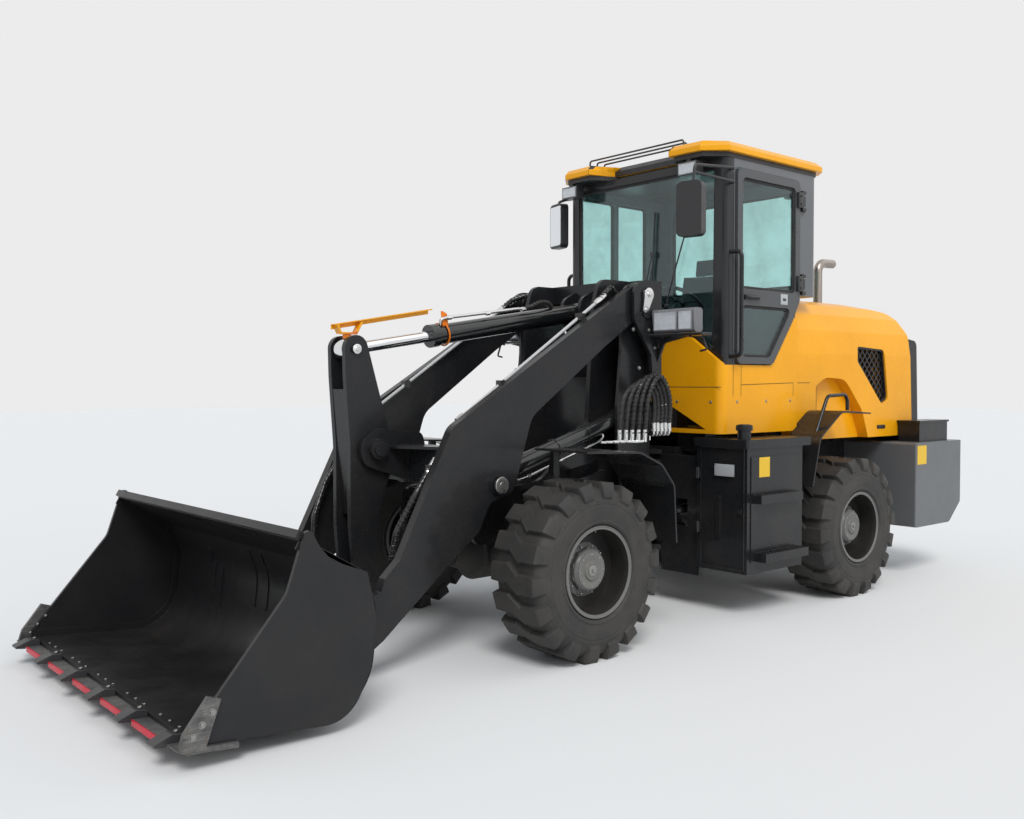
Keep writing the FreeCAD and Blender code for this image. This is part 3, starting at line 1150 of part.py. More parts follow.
def main():
    """Build and write every piece."""
    os.makedirs("parts", exist_ok=True)
    wheels()
    save("front_axle", axle(0, FRAME_LOW))
    save("rear_axle", axle(-WHEEL_BASE, 660))
    front_frame()
    save("front_fenders", front_fenders())
    save("headlights", headlights())
    save("frame_hoses", frame_hoses())
    save("boom_arms", boom())
    save("boom_pipes", boom_pipes())
    save("rocker", rocker())
    save("bucket_link", bucket_link())
    save("bucket_shell", bucket_shell())
    save("bucket_edge", bucket_edge())
    save("bucket_teeth", bucket_teeth())
    lift_cylinders()
    tilt_cylinder()
    save("level_bar", level_bar())
    steering_cylinders()
    save("rear_frame", rear_frame())
    save("engine", engine())
    save("counterweight", counterweight())
    save("battery_boxes", battery_boxes())
    save("tank_boxes", tank_boxes())
    save("steps", steps())
    save("rear_fenders", rear_fenders())
    save("hood", hood())
    save("hood_grilles", hood_grilles())
    save("radiator_guard", radiator_guard())
    save("exhaust", exhaust())
    save("cab_base", cab_base())
    save("cab_frame", fused([cab_frame()] + door_pins() + rear_wall_low()))
    save("cab_glass", cab_glass())
    save("cab_roof", cab_roof())
    save("roof_liner", roof_liner())
    save("roof_rails", roof_rails())
    door()
    save("seat", seat())
    dash, levers = console()
    save("dashboard", dash)
    save("lever_box", levers)
    save("steering_wheel", steering_wheel())
    save("mirrors", mirrors())
    save("work_lights", work_lights())
    save("grab_rails", grab_rails())


main()
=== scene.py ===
import math

import bmesh
import bpy
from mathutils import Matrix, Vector


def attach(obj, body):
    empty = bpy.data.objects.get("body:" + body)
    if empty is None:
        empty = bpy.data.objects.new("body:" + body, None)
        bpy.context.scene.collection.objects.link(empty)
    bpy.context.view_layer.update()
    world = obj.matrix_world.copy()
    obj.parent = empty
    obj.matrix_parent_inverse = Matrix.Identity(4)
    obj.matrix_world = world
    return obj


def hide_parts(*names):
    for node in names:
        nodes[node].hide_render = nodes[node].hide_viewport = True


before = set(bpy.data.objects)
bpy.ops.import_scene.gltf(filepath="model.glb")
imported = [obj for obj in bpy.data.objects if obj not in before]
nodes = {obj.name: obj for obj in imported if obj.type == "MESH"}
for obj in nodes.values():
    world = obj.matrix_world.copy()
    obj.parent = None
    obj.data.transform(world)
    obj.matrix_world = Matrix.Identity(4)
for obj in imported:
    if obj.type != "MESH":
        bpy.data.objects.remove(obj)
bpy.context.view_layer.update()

# Camera, solved from the photograph, in metres and degrees
CAMERA_AT = (5.2862, 5.2656, 1.6527)
CAMERA_YAW = 229.317
CAMERA_PITCH = -1.467
CAMERA_LENS = 35.34
SENSOR = 36.0

FLOOR_SIZE = 120.0
FLOOR_COLOUR = (0.86, 0.86, 0.85)
PALE = (0.93, 0.93, 0.93)

BLACK = (0.0125, 0.0132, 0.0150)
MATT = (0.0135, 0.0138, 0.0155)
DARK = (0.050, 0.050, 0.052)
YELLOW = (0.91, 0.395, 0.004)
GREY = (0.125, 0.132, 0.140)
DOOR_GREY = (0.070, 0.074, 0.078)
RIM_GREY = (0.16, 0.16, 0.155)
DUST = (0.33, 0.28, 0.21)
ORANGE = (0.80, 0.20, 0.012)

AXLE_X = 1.030
LUGS = 18
WHEELS = [("front_left", 0.0, 1), ("front_right", 0.0, -1), ("rear_left", -2888.0, 1), ("rear_right", -2888.0, -1)]


# Node helpers

class Graph:
    """Adds nodes to one material and links them by socket name."""

    def __init__(self, name):
        self.material = bpy.data.materials.new(name)
        self.material.use_nodes = True
        self.tree = self.material.node_tree
        self.tree.nodes.clear()

    def add(self, kind, inputs=None, **settings):
        """Makes a node; inputs maps a socket's name or number to a value or to another socket."""
        node = self.tree.nodes.new("ShaderNode" + kind)
        for key, value in settings.items():
            setattr(node, key, value)
        for key, value in (inputs or {}).items():
            self.set(node, key, value)
        return node

    def set(self, node, key, value):
        """Sets one input, or links it when the value is a socket."""
        socket = node.inputs[key]
        if isinstance(value, bpy.types.NodeSocket):
            self.tree.links.new(value, socket)
        elif isinstance(value, tuple) and len(value) == 3 and len(socket.default_value) == 4:
            socket.default_value = (*value, 1.0)
        else:
            socket.default_value = value

    def place(self):
        """Position on the object, in metres."""
        return self.add("TexCoord").outputs["Object"]

    def noise(self, scale, detail=4.0, roughness=0.6, at=None, distortion=0.0):
        """Noise between 0 and 1."""
        inputs = {"Vector": at or self.place(), "Scale": scale, "Detail": detail, "Roughness": roughness,
                  "Distortion": distortion}
        return self.add("TexNoise", inputs).outputs["Fac"]

    def ramp(self, fac, low, high, start=0.0, end=1.0):
        """Maps low..high to start..end with clamping."""
        node = self.add("MapRange", {"Value": fac, "From Min": low, "From Max": high, "To Min": start,
                                     "To Max": end})
        return node.outputs["Result"]

    def math(self, operation, a, b=0.0):
        """One arithmetic step."""
        return self.add("Math", {0: a, 1: b}, operation=operation).outputs[0]

    def mix(self, fac, a, b):
        """Blend of two colours."""
        node = self.tree.nodes.new("ShaderNodeMix")
        node.data_type = "RGBA"
        self.set(node, 0, fac)
        self.set(node, 6, a)
        self.set(node, 7, b)
        return node.outputs[2]

    def bump(self, height, strength, distance, normal=None):
        """Bump over the given normal."""
        inputs = {"Height": height, "Strength": strength, "Distance": distance}
        if normal:
            inputs["Normal"] = normal
        return self.add("Bump", inputs).outputs["Normal"]

    def rounded(self, radius):
        """Normal that rounds sharp edges."""
        return self.add("Bevel", {"Radius": radius}, samples=4).outputs["Normal"]

    def axis(self, name):
        """One coordinate of the position."""
        return self.add("SeparateXYZ", {"Vector": self.place()}).outputs[name]

    def finish(self, shader):
        """Links the shader to the output."""
        output = self.add("OutputMaterial")
        self.tree.links.new(shader, output.inputs["Surface"])
        return self.material


def dusty(graph, amount):
    """Dust that thins with height and gathers in patches and on flat tops."""
    low = graph.ramp(graph.axis("Z"), 0.1, 2.2, 1.0, 0.30)
    patch = graph.ramp(graph.noise(3.2, 6.0, 0.65), 0.40, 0.72, 0.12, 1.0)
    fine = graph.ramp(graph.noise(38.0, 3.0, 0.7), 0.3, 0.8, 0.55, 1.0)
    up = graph.add("SeparateXYZ", {"Vector": graph.add("NewGeometry").outputs["Normal"]}).outputs["Z"]
    top = graph.ramp(up, 0.3, 1.0, 0.55, 1.15)
    spread = graph.math("MULTIPLY", graph.math("MULTIPLY", low, patch), graph.math("MULTIPLY", fine, top))
    return graph.math("MULTIPLY", spread, amount)


def painted(name, colour, roughness=0.35, dust=0.35, coat=0.0, peel=0.12, edge=0.003, mask=None, gloss=0.28):
    """Paint with orange peel, faint colour drift, dust and softly rounded edges."""
    g = Graph(name)
    drift = g.ramp(g.noise(1.7, 3.0), 0.3, 0.7)
    shade = g.mix(drift, tuple(c * 0.93 for c in colour), tuple(min(1.0, c * 1.05) for c in colour))
    if mask:
        shade = mask(g, shade)
    dirt = dusty(g, dust)
    tint = g.mix(dirt, shade, DUST)
    rough = g.ramp(g.noise(9.0, 5.0), 0.3, 0.7, roughness * 0.85, roughness * 1.2)
    rough = g.math("ADD", rough, g.math("MULTIPLY", dirt, 0.45))
    grain = g.bump(g.noise(420.0, 2.0), peel, 0.0004, g.rounded(edge))
    wave = g.bump(g.noise(6.0, 2.0), 0.06, 0.004, grain)
    shader = g.add("BsdfPrincipled", {"Base Color": tint, "Roughness": rough, "Normal": wave,
                                      "Coat Weight": coat, "Coat Roughness": 0.08, "Specular IOR Level": gloss})
    return g.finish(shader.outputs[0])


def rim_dish_paint_and_shade_mask(g, shade):
    """Dark dish between the pale hub and the rim's lip, by distance from the wheel's own axis; the near-black dish is
    partly black paint, partly painted shade of the deep-set dish.
    """
    x = g.math("PINGPONG", g.math("SUBTRACT", g.axis("X"), 1.03), 1.444)
    z = g.math("SUBTRACT", g.axis("Z"), 0.5375)
    radius = g.math("SQRT", g.math("ADD", g.math("MULTIPLY", x, x), g.math("MULTIPLY", z, z)))
    dish = g.math("MULTIPLY", g.math("GREATER_THAN", radius, 0.164), g.math("LESS_THAN", radius, 0.253))
    # Near-black dish colour: black paint plus painted shade in the recess.
    return g.mix(dish, shade, (0.022, 0.021, 0.020))


def leg_mask(g, shade):
    """Orange bracket under the yellow bar."""
    slope = g.math("ADD", g.axis("Z"), g.math("MULTIPLY", g.axis("X"), 0.2025))
    low = g.math("LESS_THAN", slope, 2.380)
    return g.mix(low, shade, ORANGE)


def pipe_mask(g, shade):
    """Silver tube between the hoses."""
    along = g.axis("X")
    middle = g.math("MULTIPLY", g.math("GREATER_THAN", along, 0.440), g.math("LESS_THAN", along, 1.809))
    for clamp in (0.610, 1.290):
        off = g.math("GREATER_THAN", g.math("ABSOLUTE", g.math("SUBTRACT", along, clamp)), 0.0245)
        middle = g.math("MULTIPLY", middle, off)
    return g.mix(middle, shade, (0.55, 0.55, 0.55))


def frame_mask(g, shade):
    """Black front pillars and hinge leaves, grey posts elsewhere."""
    front = g.ramp(g.axis("X"), -0.660, -0.655)
    leaf = g.math("GREATER_THAN", g.axis("Y"), 0.803)
    return g.mix(g.math("MAXIMUM", front, leaf), shade, (0.014, 0.015, 0.017))


def housing_mask(g, shade):
    """Black bracket under the grey lamp housing."""
    return g.mix(g.math("LESS_THAN", g.axis("Z"), 1.9885), shade, BLACK)


def knuckle_mask(g, shade):
    """Black hinge knuckles on the door."""
    return g.mix(g.math("GREATER_THAN", g.axis("Y"), 0.8215), shade, (0.014, 0.015, 0.017))


def metal(name, colour, roughness, dust=0.1, brushed=0.0, edge=0.002):
    """Bare or plated metal with smudges, faint brushing and dust."""
    g = Graph(name)
    smudge = g.ramp(g.noise(14.0, 5.0), 0.35, 0.7, roughness * 0.7, roughness * 1.5)
    dirt = dusty(g, dust)
    tint = g.mix(dirt, colour, DUST)
    stretched = g.add("Mapping", {"Vector": g.place(), "Scale": (4.0, 260.0, 260.0)}).outputs[0]
    normal = g.bump(g.noise(3.0, 3.0, at=stretched), brushed, 0.0004, g.rounded(edge))
    shader = g.add("BsdfPrincipled", {"Base Color": tint, "Metallic": 1.0, "Normal": normal,
                                      "Roughness": g.math("ADD", smudge, g.math("MULTIPLY", dirt, 0.5))})
    return g.finish(shader.outputs[0])


def worn_steel(name, paint):
    """Ground-worn steel with paint left in patches and fine scratches."""
    g = Graph(name)
    scratch = g.add("Mapping", {"Vector": g.place(), "Scale": (3.0, 150.0, 60.0)}).outputs[0]
    lines = g.ramp(g.noise(4.0, 6.0, at=scratch), 0.40, 0.66)
    patch = g.ramp(g.noise(5.0, 8.0, 0.7), 0.40, 0.60)
    bare = g.mix(lines, (0.13, 0.125, 0.12), (0.26, 0.255, 0.24))
    rusty = g.mix(g.ramp(g.noise(22.0, 6.0), 0.55, 0.8), bare, (0.17, 0.10, 0.06))
    tint = g.mix(patch, rusty, paint)
    normal = g.bump(lines, 0.25, 0.001, g.rounded(0.003))
    shader = g.add("BsdfPrincipled", {"Base Color": tint, "Metallic": g.ramp(patch, 0.0, 1.0, 0.6, 0.05),
                                      "Roughness": g.ramp(lines, 0.0, 1.0, 0.55, 0.38), "Normal": normal})
    return g.finish(shader.outputs[0])


def rubber(name, colour, dust=0.55, grain=90.0, strength=0.35, sheen=0.35, smooth=0.72):
    """Matt rubber with dust in patches and streaks."""
    g = Graph(name)
    fine = g.noise(grain, 5.0, 0.7)
    dirt = g.math("MULTIPLY", g.ramp(g.noise(5.0, 7.0, 0.7), 0.38, 0.75), dust)
    streak = g.ramp(g.noise(1.3, 4.0, 0.6), 0.35, 0.7, 0.6, 1.0)
    dirt = g.math("MULTIPLY", dirt, streak)
    tint = g.mix(dirt, g.mix(fine, tuple(c * 0.75 for c in colour), tuple(c * 1.3 for c in colour)), DUST)
    normal = g.bump(fine, strength, 0.0012, g.rounded(0.004))
    shader = g.add("BsdfPrincipled", {"Base Color": tint, "Roughness": g.ramp(fine, 0.0, 1.0, smooth, smooth + 0.2),
                                      "Normal": normal, "Specular IOR Level": sheen})
    return g.finish(shader.outputs[0])


def plastic(name, colour, roughness=0.45, grain=700.0, dust=0.2):
    """Moulded plastic with a fine grain."""
    g = Graph(name)
    grain_height = g.add("TexVoronoi", {"Vector": g.place(), "Scale": grain}).outputs["Distance"]
    dirt = dusty(g, dust)
    drift = g.ramp(g.noise(4.0, 4.0), 0.3, 0.7)
    tint = g.mix(dirt, g.mix(drift, tuple(c * 0.88 for c in colour), colour), DUST)
    normal = g.bump(grain_height, 0.15, 0.0006, g.rounded(0.002))
    rough = g.ramp(g.noise(12.0), 0.3, 0.7, roughness * 0.85, roughness * 1.15)
    shader = g.add("BsdfPrincipled", {"Base Color": tint, "Roughness": rough, "Normal": normal})
    return g.finish(shader.outputs[0])


def fabric(name, colour):
    """Woven seat cloth."""
    g = Graph(name)
    warp = g.add("TexWave", {"Vector": g.place(), "Scale": 220.0}, bands_direction="Y").outputs["Fac"]
    weft = g.add("TexWave", {"Vector": g.place(), "Scale": 220.0}, bands_direction="Z").outputs["Fac"]
    weave = g.math("MULTIPLY", warp, weft)
    worn = g.ramp(g.noise(6.0, 5.0), 0.35, 0.7)
    tint = g.mix(weave, tuple(c * 0.7 for c in colour), tuple(c * 1.6 for c in colour))
    tint = g.mix(g.math("MULTIPLY", worn, 0.35), tint, tuple(c * 1.5 for c in colour))
    normal = g.bump(weave, 0.4, 0.0012)
    shader = g.add("BsdfPrincipled", {"Base Color": tint, "Roughness": 0.85, "Normal": normal,
                                      "Sheen Weight": 0.25})
    return g.finish(shader.outputs[0])


def clear_glass(name, tint, clear, smeared, smear_scale=2.2, film=(0.42, 0.48, 0.50), haze=0.0):
    """Thin glass: mostly see-through, glossy, with faint smears; denser at grazing angles."""
    g = Graph(name)
    smear = g.ramp(g.noise(smear_scale, 6.0, 0.7), 0.45, 0.8)
    facing = g.add("LayerWeight", {"Blend": 0.5}).outputs["Facing"]
    grazing = g.math("MULTIPLY", g.math("POWER", facing, 4.0), 0.7)
    through = g.add("BsdfTransparent", {"Color": g.mix(smear, tint, tuple(c * 0.90 for c in tint))})
    shine = g.add("BsdfGlossy", {"Color": (0.95, 0.98, 1.0), "Roughness": g.ramp(smear, 0.0, 1.0, 0.02, 0.12)})
    dull = g.add("BsdfDiffuse", {"Color": film})
    coat = g.tree.nodes.new("ShaderNodeMixShader")
    g.set(coat, 0, g.ramp(grazing, 0.0, 1.0, clear, 1.0))
    g.tree.links.new(through.outputs[0], coat.inputs[1])
    g.tree.links.new(shine.outputs[0], coat.inputs[2])
    dirty = g.tree.nodes.new("ShaderNodeMixShader")
    g.set(dirty, 0, g.ramp(smear, 0.0, 1.0, haze, smeared))
    g.tree.links.new(coat.outputs[0], dirty.inputs[1])
    g.tree.links.new(dull.outputs[0], dirty.inputs[2])
    return g.finish(dirty.outputs[0])


def coloured_lens(name, colour):
    """Moulded lamp lens with ribs and a deep gloss."""
    g = Graph(name)
    drift = g.ramp(g.noise(30.0, 3.0), 0.3, 0.7)
    tint = g.mix(drift, tuple(c * 0.8 for c in colour), colour)
    ribs = g.add("TexWave", {"Vector": g.place(), "Scale": 60.0}, bands_direction="Z").outputs["Fac"]
    shader = g.add("BsdfPrincipled", {"Base Color": tint, "Roughness": g.ramp(drift, 0.0, 1.0, 0.08, 0.16),
                                      "Normal": g.bump(ribs, 0.3, 0.001), "Coat Weight": 0.6})
    return g.finish(shader.outputs[0])


def make_materials():
    """One material for each look."""
    return {
        "black": painted("black_paint", BLACK, 0.26, 0.11, coat=0.12),
        "matt": painted("matt_black_paint", MATT, 0.34, 0.07, coat=0.1),
        "tooth": painted("tooth_steel", (0.035, 0.036, 0.040), 0.36, 0.15),
        "dark": painted("gloss_black_paint", (0.010, 0.011, 0.012), 0.16, 0.08, coat=0.4, gloss=0.5),
        "stack": metal("stack_steel", (0.33, 0.29, 0.26), 0.30, 0.20, brushed=0.2),
        "yellow": painted("yellow_paint", YELLOW, 0.28, 0.08, coat=0.10, gloss=0.22),
        "roof": painted("roof_paint", YELLOW, 0.30, 0.06, coat=0.10, edge=0.010, gloss=0.22),
        "grey": painted("grey_paint", GREY, 0.34, 0.12, coat=0.3, mask=frame_mask),
        "door": painted("door_paint", DOOR_GREY, 0.30, 0.08, coat=0.2, mask=knuckle_mask),
        "weight": painted("weight_paint", GREY, 0.36, 0.14, coat=0.2),
        "head_lamp": painted("lamp_housing_paint", (0.16, 0.16, 0.17), 0.24, 0.08, coat=0.3, mask=housing_mask),
        "bar": painted("level_bar_paint", YELLOW, 0.30, 0.08, coat=0.3, mask=leg_mask),
        "lamp_rim": painted("lamp_rim_paint", (0.20, 0.20, 0.21), 0.30, 0.08, coat=0.4),
        "guard": plastic("hose_guard", (0.020, 0.020, 0.021), 0.16, dust=0.04),
        # Rim paint; its dark dish is partly black paint, partly painted shade.
        "rim": painted("rim_paint_and_dish_shade", RIM_GREY, 0.34, 0.08, mask=rim_dish_paint_and_shade_mask),
        "hub": painted("hub_paint", (0.145, 0.145, 0.140), 0.42, 0.40),
        "orange": painted("orange_paint", ORANGE, 0.40, 0.10),
        "red": painted("red_paint", (0.60, 0.016, 0.040), 0.38, 0.08),
        "label": painted("label_yellow", (0.80, 0.50, 0.03), 0.35, 0.10, peel=0.03),
        "plate": painted("plate_grey", (0.42, 0.43, 0.44), 0.35, 0.12),
        "gap": rubber("joint_shadow", (0.010, 0.009, 0.008), dust=0.05),
        "cast": painted("cast_paint", (0.045, 0.045, 0.046), 0.55, 0.45, peel=0.5),
        "chrome": metal("chrome_rod", (0.78, 0.79, 0.80), 0.07, 0.05),
        "bright": metal("bright_steel", (0.66, 0.66, 0.66), 0.22, 0.08, brushed=0.1),
        "nut": metal("nut_steel", (0.30, 0.30, 0.29), 0.36, 0.20),
        "steel": painted("pipe_paint", (0.020, 0.020, 0.021), 0.22, 0.06, coat=0.4, mask=pipe_mask),
        "worn": worn_steel("worn_steel", DARK),
        "tyre": rubber("tyre_rubber", (0.027, 0.0262, 0.0255), dust=0.12, sheen=0.42, smooth=0.55),
        "hose": rubber("hose_rubber", (0.018, 0.018, 0.019), dust=0.10, grain=300.0, strength=0.2, smooth=0.42),
        "seal": rubber("seal_rubber", (0.016, 0.016, 0.017), dust=0.10, grain=400.0, strength=0.1, smooth=0.5),
        "plastic": plastic("black_plastic", (0.020, 0.020, 0.022), 0.38, dust=0.12),
        "lamp": plastic("lamp_body", (0.026, 0.026, 0.028), 0.32),
        # The reflector cups' pale white colour is painted reflection, standing in for their mirror finish.
        "reflector": painted("lamp_reflector_painted_reflection", (0.80, 0.81, 0.84), 0.14, 0.02, coat=0.6, peel=0.03, edge=0.001),
        "lens": clear_glass("lamp_lens", (0.98, 0.985, 0.99), 0.06, 0.55, 8.0, (0.88, 0.90, 0.92), 0.32),
        "red_lens": coloured_lens("tail_lens", (0.45, 0.012, 0.010)),
        "amber": coloured_lens("turn_lens", (0.75, 0.20, 0.010)),
        "mirror": metal("mirror_pane", (0.80, 0.83, 0.86), 0.03, 0.03),
        "fabric": fabric("seat_cloth", (0.050, 0.051, 0.058)),
        "glass": clear_glass("cab_glass", (0.80, 0.93, 0.92), 0.05, 0.05),
    }


LOOKS = {
    "black": ["rear_frame", "battery_boxes", "tank_boxes", "steps", "rear_fenders", "grab_rails", "front_frame",
              "front_fenders", "boom_arms", "rocker", "bucket_link"],
    "matt": ["radiator_guard", "hood_grilles", "bucket_shell"],
    "head_lamp": ["headlights"],
    "tooth": ["bucket_teeth"],
    "dark": ["roof_rails", "lift_barrels", "tilt_barrel", "steer_barrel_left", "steer_barrel_right"],
    "stack": ["exhaust"],
    "yellow": ["hood", "cab_base"],
    "bar": ["level_bar"],
    "door": ["door_frame"],
    "roof": ["cab_roof"],
    "grey": ["cab_frame"],
    "weight": ["counterweight"],
    "cast": ["rear_axle", "front_axle", "engine"],
    "chrome": ["lift_rods", "tilt_rod", "steer_rod_left", "steer_rod_right"],
    "steel": ["boom_pipes"],
    "worn": ["bucket_edge"],
    "hose": ["frame_hoses"],
    "plastic": ["roof_liner", "dashboard", "lever_box", "steering_wheel", "mirrors"],
    "lamp": ["work_lights"],
    "fabric": ["seat"],
    "glass": ["cab_glass", "door_glass"],
}


def dress(materials):
    """Gives every frame node its material and smooth shading by angle."""
    look_of = {node: look for look, names in LOOKS.items() for node in names}
    for name, piece in nodes.items():
        if name.startswith("tyre_"):
            look = "tyre"
        elif name.startswith("rim_"):
            look = "rim"
        else:
            look = look_of[name]
        piece.data.materials.clear()
        piece.data.materials.append(materials[look])
        piece.data.shade_smooth()
        piece.data.set_sharp_from_angle(angle=math.radians(32))


# Geometry, in millimetres from the front axle's centre line, as in the part's source

def smooth_path(points, steps=8):
    """Points of a smooth curve through the given ones."""
    rows = [Vector(p) for p in points]
    rows = [rows[0] * 2 - rows[1]] + rows + [rows[-1] * 2 - rows[-2]]
    path = []
    for a, b, c, d in zip(rows, rows[1:], rows[2:], rows[3:]):
        for k in range(steps):
            t = k / steps
            path.append(0.5 * (b * 2 + (c - a) * t + (a * 2 - b * 5 + c * 4 - d) * t * t
                               + (b * 3 - a - c * 3 + d) * t ** 3))
    return path + [rows[-2]]


def bent_path(points, radius, steps=6):
    """Straight runs with rounded corners."""
    rows = [Vector(p) for p in points]
    path = [rows[0]]
    for before, corner, after in zip(rows, rows[1:], rows[2:]):
        reach = min(radius, (before - corner).length * 0.49, (after - corner).length * 0.49)
        start = corner + (before - corner).normalized() * reach
        end = corner + (after - corner).normalized() * reach
        for k in range(steps + 1):
            t = k / steps
            path.append(start * (1 - t) ** 2 + corner * 2 * t * (1 - t) + end * t * t)
    return path + [rows[-1]]


def filleted(points, steps=10):
    """Flat line through (a, b, radius) corners with true arcs."""
    rows = [(Vector(p[:2]), p[2] if len(p) > 2 else 0) for p in points]
    line = [rows[0][0]]
    for (before, _), (corner, radius), (after, _) in zip(rows, rows[1:], rows[2:]):
        into, out = (corner - before).normalized(), (after - corner).normalized()
        half_turn = into.angle(out) / 2
        reach = min(radius * math.tan(half_turn), (corner - before).length * 0.98, (after - corner).length * 0.98)
        start, end = corner - into * reach, corner + out * reach
        towards = (out - into).normalized()
        centre = corner + towards * math.hypot(reach, reach / math.tan(half_turn))
        span = (start - centre).angle(end - centre)
        for k in range(steps + 1):
            part = math.sin(span * (1 - k / steps)), math.sin(span * k / steps)
            line.append(centre + ((start - centre) * part[0] + (end - centre) * part[1]) / math.sin(span))
    return line + [rows[-1][0]]


def offset_line(line, distance):
    """Line moved sideways."""
    moved = []
    for i, point in enumerate(line):
        along = (line[min(i + 1, len(line) - 1)] - line[max(i - 1, 0)]).normalized()
        moved.append(point + Vector((-along.y, along.x)) * distance)
    return moved


def frames(path):
    """Position, first and second normal along a path, without twist."""
    normal = None
    rows = []
    for i, point in enumerate(path):
        tangent = (path[min(i + 1, len(path) - 1)] - path[max(i - 1, 0)]).normalized()
        normal = tangent.orthogonal() if normal is None else normal - tangent * normal.dot(tangent)
        normal.normalize()
        rows.append((point, normal.copy(), tangent.cross(normal)))
    return rows


class Shape:
    """Collects the surfaces of one piece."""

    def __init__(self):
        self.bm = bmesh.new()

    def skin(self, rings, caps=True, loop=False):
        """Joins rings of points into a skin."""
        rows = [[self.bm.verts.new(point) for point in ring] for ring in rings]
        count = len(rows[0])
        following = rows[1:] + rows[:1] if loop else rows[1:]
        for near, far in zip(rows, following):
            for k in range(count):
                n = (k + 1) % count
                self.bm.faces.new((near[k], near[n], far[n], far[k]))
        if caps and not loop:
            self.bm.faces.new(rows[0][::-1])
            self.bm.faces.new(rows[-1])

    def turn(self, profile, centre, axis, sides=24, caps=True, loop=False):
        """Turned form from rows (distance along the axis, radius)."""
        axis = Vector(axis).normalized()
        side = axis.orthogonal().normalized()
        up = axis.cross(side)
        angles = [2 * math.pi * k / sides for k in range(sides)]
        rings = [[Vector(centre) + axis * along + (side * math.cos(a) + up * math.sin(a)) * radius for a in angles]
                 for along, radius in profile]
        self.skin(rings, caps, loop)

    def tube(self, path, radius, sides=12):
        """Round bar along a path; the radius may be a function of the share of the way."""
        rings = []
        last = len(path) - 1
        for i, (point, first, second) in enumerate(frames([Vector(p) for p in path])):
            r = radius(i / last) if callable(radius) else radius
            rings.append([point + (first * math.cos(a) + second * math.sin(a)) * r
                          for a in (2 * math.pi * k / sides for k in range(sides))])
        self.skin(rings)

    def wrap(self, path, radius, wire, pitch):
        """Spiral guard round a hose."""
        rows = frames([Vector(p) for p in path])
        run = [0.0]
        for (a, _, _), (b, _, _) in zip(rows, rows[1:]):
            run.append(run[-1] + (b - a).length)
        count = max(24, int(run[-1] / pitch * 9))
        points = []
        i = 0
        for k in range(count + 1):
            s = run[-1] * k / count
            while i < len(run) - 2 and run[i + 1] < s:
                i += 1
            t = (s - run[i]) / max(run[i + 1] - run[i], 1e-6)
            a, b = rows[i], rows[i + 1]
            point, first, second = (a[j].lerp(b[j], t) for j in range(3))
            turn = 2 * math.pi * s / pitch
            points.append(point + (first.normalized() * math.cos(turn) + second.normalized() * math.sin(turn)) * radius)
        self.tube(points, wire, 5)

    def block(self, low, high):
        """Box between two corners."""
        (x0, y0, z0), (x1, y1, z1) = low, high
        self.skin([[(x0, y0, z0), (x1, y0, z0), (x1, y1, z0), (x0, y1, z0)],
                   [(x0, y0, z1), (x1, y0, z1), (x1, y1, z1), (x0, y1, z1)]])

    def slab(self, outline, axis, low, high):
        """Flat outline given a thickness along X, Y or Z."""
        if axis == "x":
            place = [lambda a, b, c=c: (c, a, b) for c in (low, high)]
        elif axis == "y":
            place = [lambda a, b, c=c: (a, c, b) for c in (low, high)]
        else:
            place = [lambda a, b, c=c: (a, b, c) for c in (low, high)]
        self.skin([[put(a, b) for a, b in outline] for put in place])

    def bolt(self, centre, axis, size, washer=1.35):
        """Hexagon head on a washer."""
        self.turn([(0, size * washer), (size * 0.22, size * washer)], centre, axis, 18)
        self.turn([(size * 0.2, size), (size * 0.85, size), (size * 1.0, size * 0.84)], centre, axis, 6)

    def across(self):
        """Adds the mirror image on the other side of the machine."""
        copy = bmesh.ops.duplicate(self.bm, geom=self.bm.verts[:] + self.bm.edges[:] + self.bm.faces[:])["geom"]
        for item in copy:
            if isinstance(item, bmesh.types.BMVert):
                item.co.y = -item.co.y

    def flip(self):
        """Moves everything to the other side of the machine."""
        for vert in self.bm.verts:
            vert.co.y = -vert.co.y

    def shift(self, offset):
        """Moves everything."""
        bmesh.ops.translate(self.bm, verts=self.bm.verts, vec=offset)

    def done(self, name, look, body, slot, bevel=0.0, angle=32.0, replaces=()):
        """Makes the piece, in metres, and fixes it to its body."""
        bm = self.bm
        bmesh.ops.recalc_face_normals(bm, faces=bm.faces)
        if bevel:
            sharp = [e for e in bm.edges if len(e.link_faces) == 2 and e.calc_face_angle(0) > math.radians(40)]
            bmesh.ops.bevel(bm, geom=sharp, offset=bevel, segments=2, profile=0.6, affect="EDGES",
                            clamp_overlap=True)
        for vert in bm.verts:
            vert.co = Vector((vert.co.x / 1000 + AXLE_X, vert.co.y / 1000, vert.co.z / 1000))
        mesh = bpy.data.meshes.new(name)
        bm.to_mesh(mesh)
        bm.free()
        mesh.materials.append(materials[look])
        mesh.shade_smooth()
        mesh.set_sharp_from_angle(angle=math.radians(angle))
        piece = bpy.data.objects.new(name, mesh)
        bpy.context.scene.collection.objects.link(piece)
        if replaces:
            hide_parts(*replaces)
        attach(piece, body)
        return piece


# Wheels

